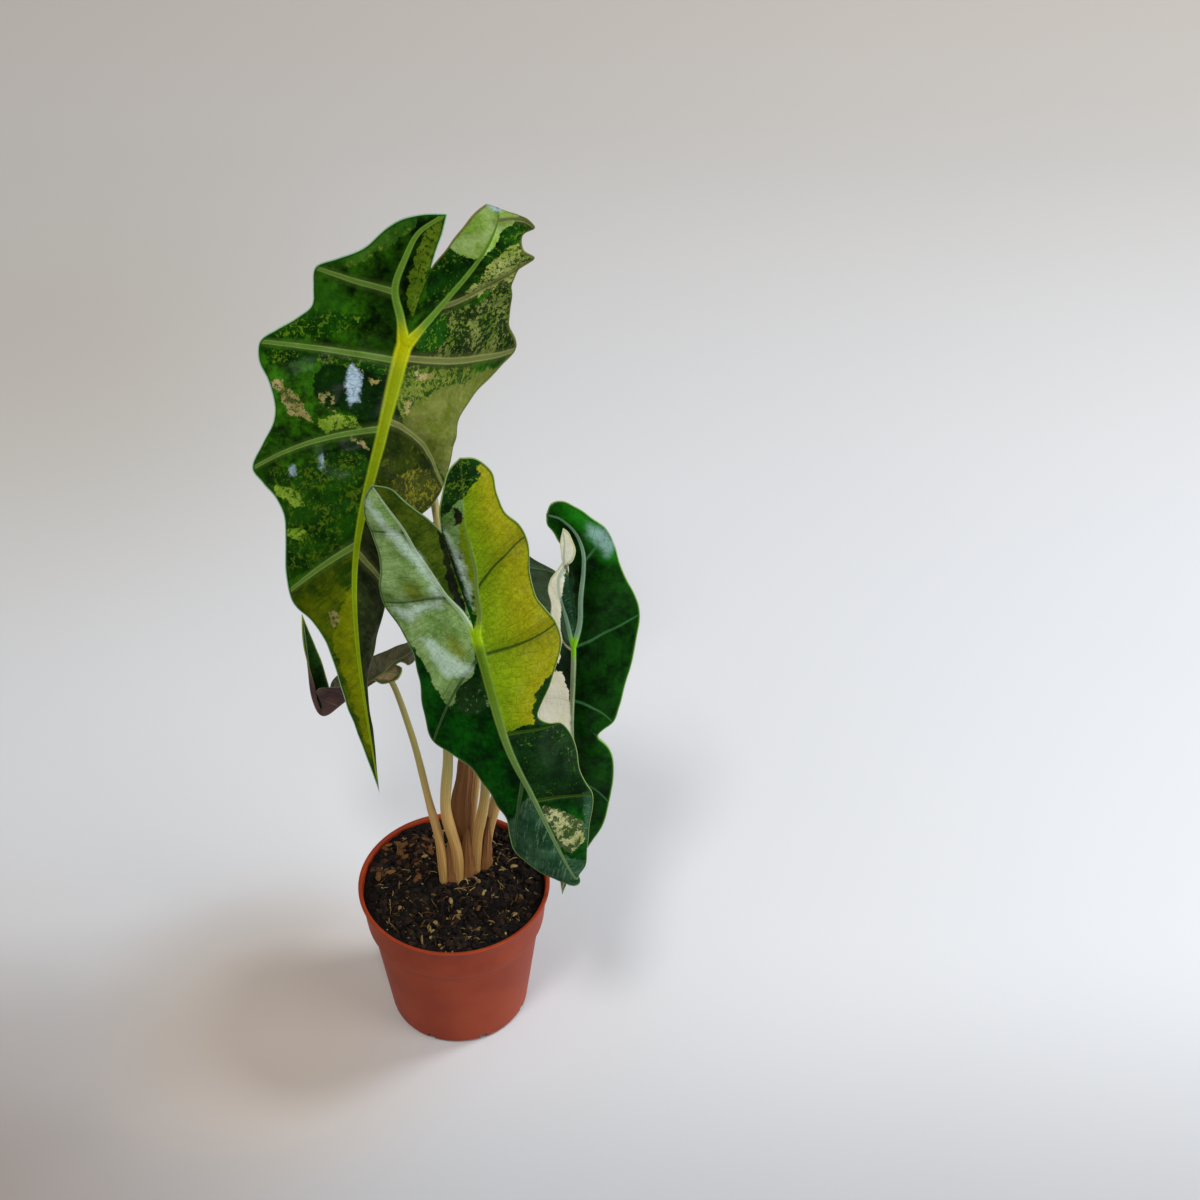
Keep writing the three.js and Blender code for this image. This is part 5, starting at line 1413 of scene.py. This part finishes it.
def build_plant():
    pot_piece(pot_finish())
    soil_piece(soil_finish("soil_dark", "#050201", "#150c06"))
    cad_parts["corm"].data.materials[0] = corm_finish()
    dark = toned_finish("crumb_dark", ("#020100", "#0b0603", "#24160a"), 0.9)
    tan = toned_finish("fibre_tan", ("#24160a", "#503818", "#8c7648"), 0.8)
    bark = toned_finish("bark_orange", ("#170a05", "#38200f", "#64421f"), 0.85)
    crumbs_piece("soil_crumbs", dark, **CRUMBS["soil_crumbs"])
    fibres_piece("soil_fibres", tan, **FIBRES)
    crumbs_piece("soil_chips", tan, **CRUMBS["soil_chips"])
    crumbs_piece("bark_bits", bark, **CRUMBS["bark_bits"])
    stalk = stalk_finish()
    for name in STALKS:
        stalk_piece(name, stalk)
    husk = husk_finish()
    sheath_piece("husk", SHEATH, "dry_sheath", ("dry_sheath",), husk)
    for name, wrap in WRAPS.items():
        sheath_piece(name, wrap, "dry_sheath", (), husk)
    for name, (spacing, count) in MESHES.items():
        leaf_piece(name, spacing, count, LeafFinish(name).finished())


# Each soft light's place, aim, size, power and tint
LIGHTS = {
    "window_left": ((-1.5, -0.75, 1.0), (0, 0, 0.28), 2.6, 9, (1.0, 0.88, 0.74)),
    "lamp_right": ((1.3, 0.4, 1.45), (0, 0, 0.1), 0.5, 21, (0.9, 0.96, 1.0)),
    "lamp_front": ((-0.2, -0.85, 2.0), (0, 0, 0.3), 0.4, 16, (1.0, 0.99, 0.96)),
    "fill_right": ((1.6, -0.7, 0.7), (0, 0, 0.2), 1.2, 19, (0.96, 0.98, 1.0)),
}
FILL = {"tint": (0.95, 0.97, 1.0, 1), "strength": 0.38}
FLOOR = {"half_width": 4.0, "front": -3.0, "bend": 0.9, "back": 1.85, "top": 3.0}

# Round, soft patches of painted shade on the floor: middle, colour, reach and strength. The first darkens the
# far left, the second the front left corner, and the last is a warm painted shadow beside the pot.
PAINTED_FLOOR_SHADES = (
    ((-0.34, 0.6, 0), "#aea699", (0.02, 0.42), 0.6),
    ((-0.36, -0.24, 0), "#8a7c74", (0.03, 0.42), 1),
    ((-0.1, -0.025, 0), "#b59d84", (0.02, 0.14), 0.5),
)


def soft_light(name, place, aim, size, power, tint):
    data = bpy.data.lights.new(name, "AREA")
    data.shape, data.size, data.energy, data.color = "DISK", size, power, tint
    light = linked(name, data)
    light.location = place
    away = np.array(place) - np.array(aim)
    light.rotation_euler = (math.atan2(math.hypot(away[0], away[1]), away[2]), 0,
                            math.atan2(away[0], -away[1]))


def floor_finish():
    finish = Finish("floor_paper")
    place = finish.own_place()
    paper = finish.mix("#cdcdcf", "#c7c8cc", finish.noise(place, 2.5, 3, 0.5))
    depth = finish.along(place, "Y")
    # Painted shade: a darker, warmer grey towards the back
    paper = finish.mix(paper, "#b8aea2", finish.ramp(depth, 0.3, 1.6))
    # Painted shade: the floor darkens towards the front
    paper = paper * finish.ramp(depth, -0.2, 0.05, 0.66, 1)
    # The patches of painted shade and the pot's painted shadow
    for middle, tone, reach, strength in PAINTED_FLOOR_SHADES:
        paper = finish.mix(paper, tone, finish.ramp(finish.distance(place, middle), *reach, strength, 0))
    return finish.paint(paper, 0.75)


def build_studio():
    """A pale floor that curves up far behind the pot, soft lights and an even fill."""
    bend, half_width = FLOOR["bend"], FLOOR["half_width"]
    steps = [(FLOOR["front"], 0.0), (bend, 0.0)]
    steps += [(bend + bend * math.sin(a), bend - bend * math.cos(a)) for a in np.linspace(0.1, 1.5, 15)]
    steps += [(FLOOR["back"], FLOOR["top"])]
    points = [(x, y, z) for y, z in steps for x in (-half_width, half_width)]
    faces = [[2 * i, 2 * i + 1, 2 * i + 3, 2 * i + 2] for i in range(len(steps) - 1)]
    mesh = bpy.data.meshes.new("floor")
    mesh.from_pydata(points, [], faces)
    mesh.polygons.foreach_set("use_smooth", [True] * len(mesh.polygons))
    mesh.materials.append(floor_finish())
    linked("floor", mesh)
    for name, settings in LIGHTS.items():
        soft_light(name, *settings)
    world = bpy.data.worlds.new("fill")
    world.use_nodes = True
    background = world.node_tree.nodes["Background"]
    background.inputs["Color"].default_value = FILL["tint"]
    background.inputs["Strength"].default_value = FILL["strength"]
    bpy.context.scene.world = world
    bpy.context.scene.view_settings.view_transform = "Standard"


build_studio()
build_plant()
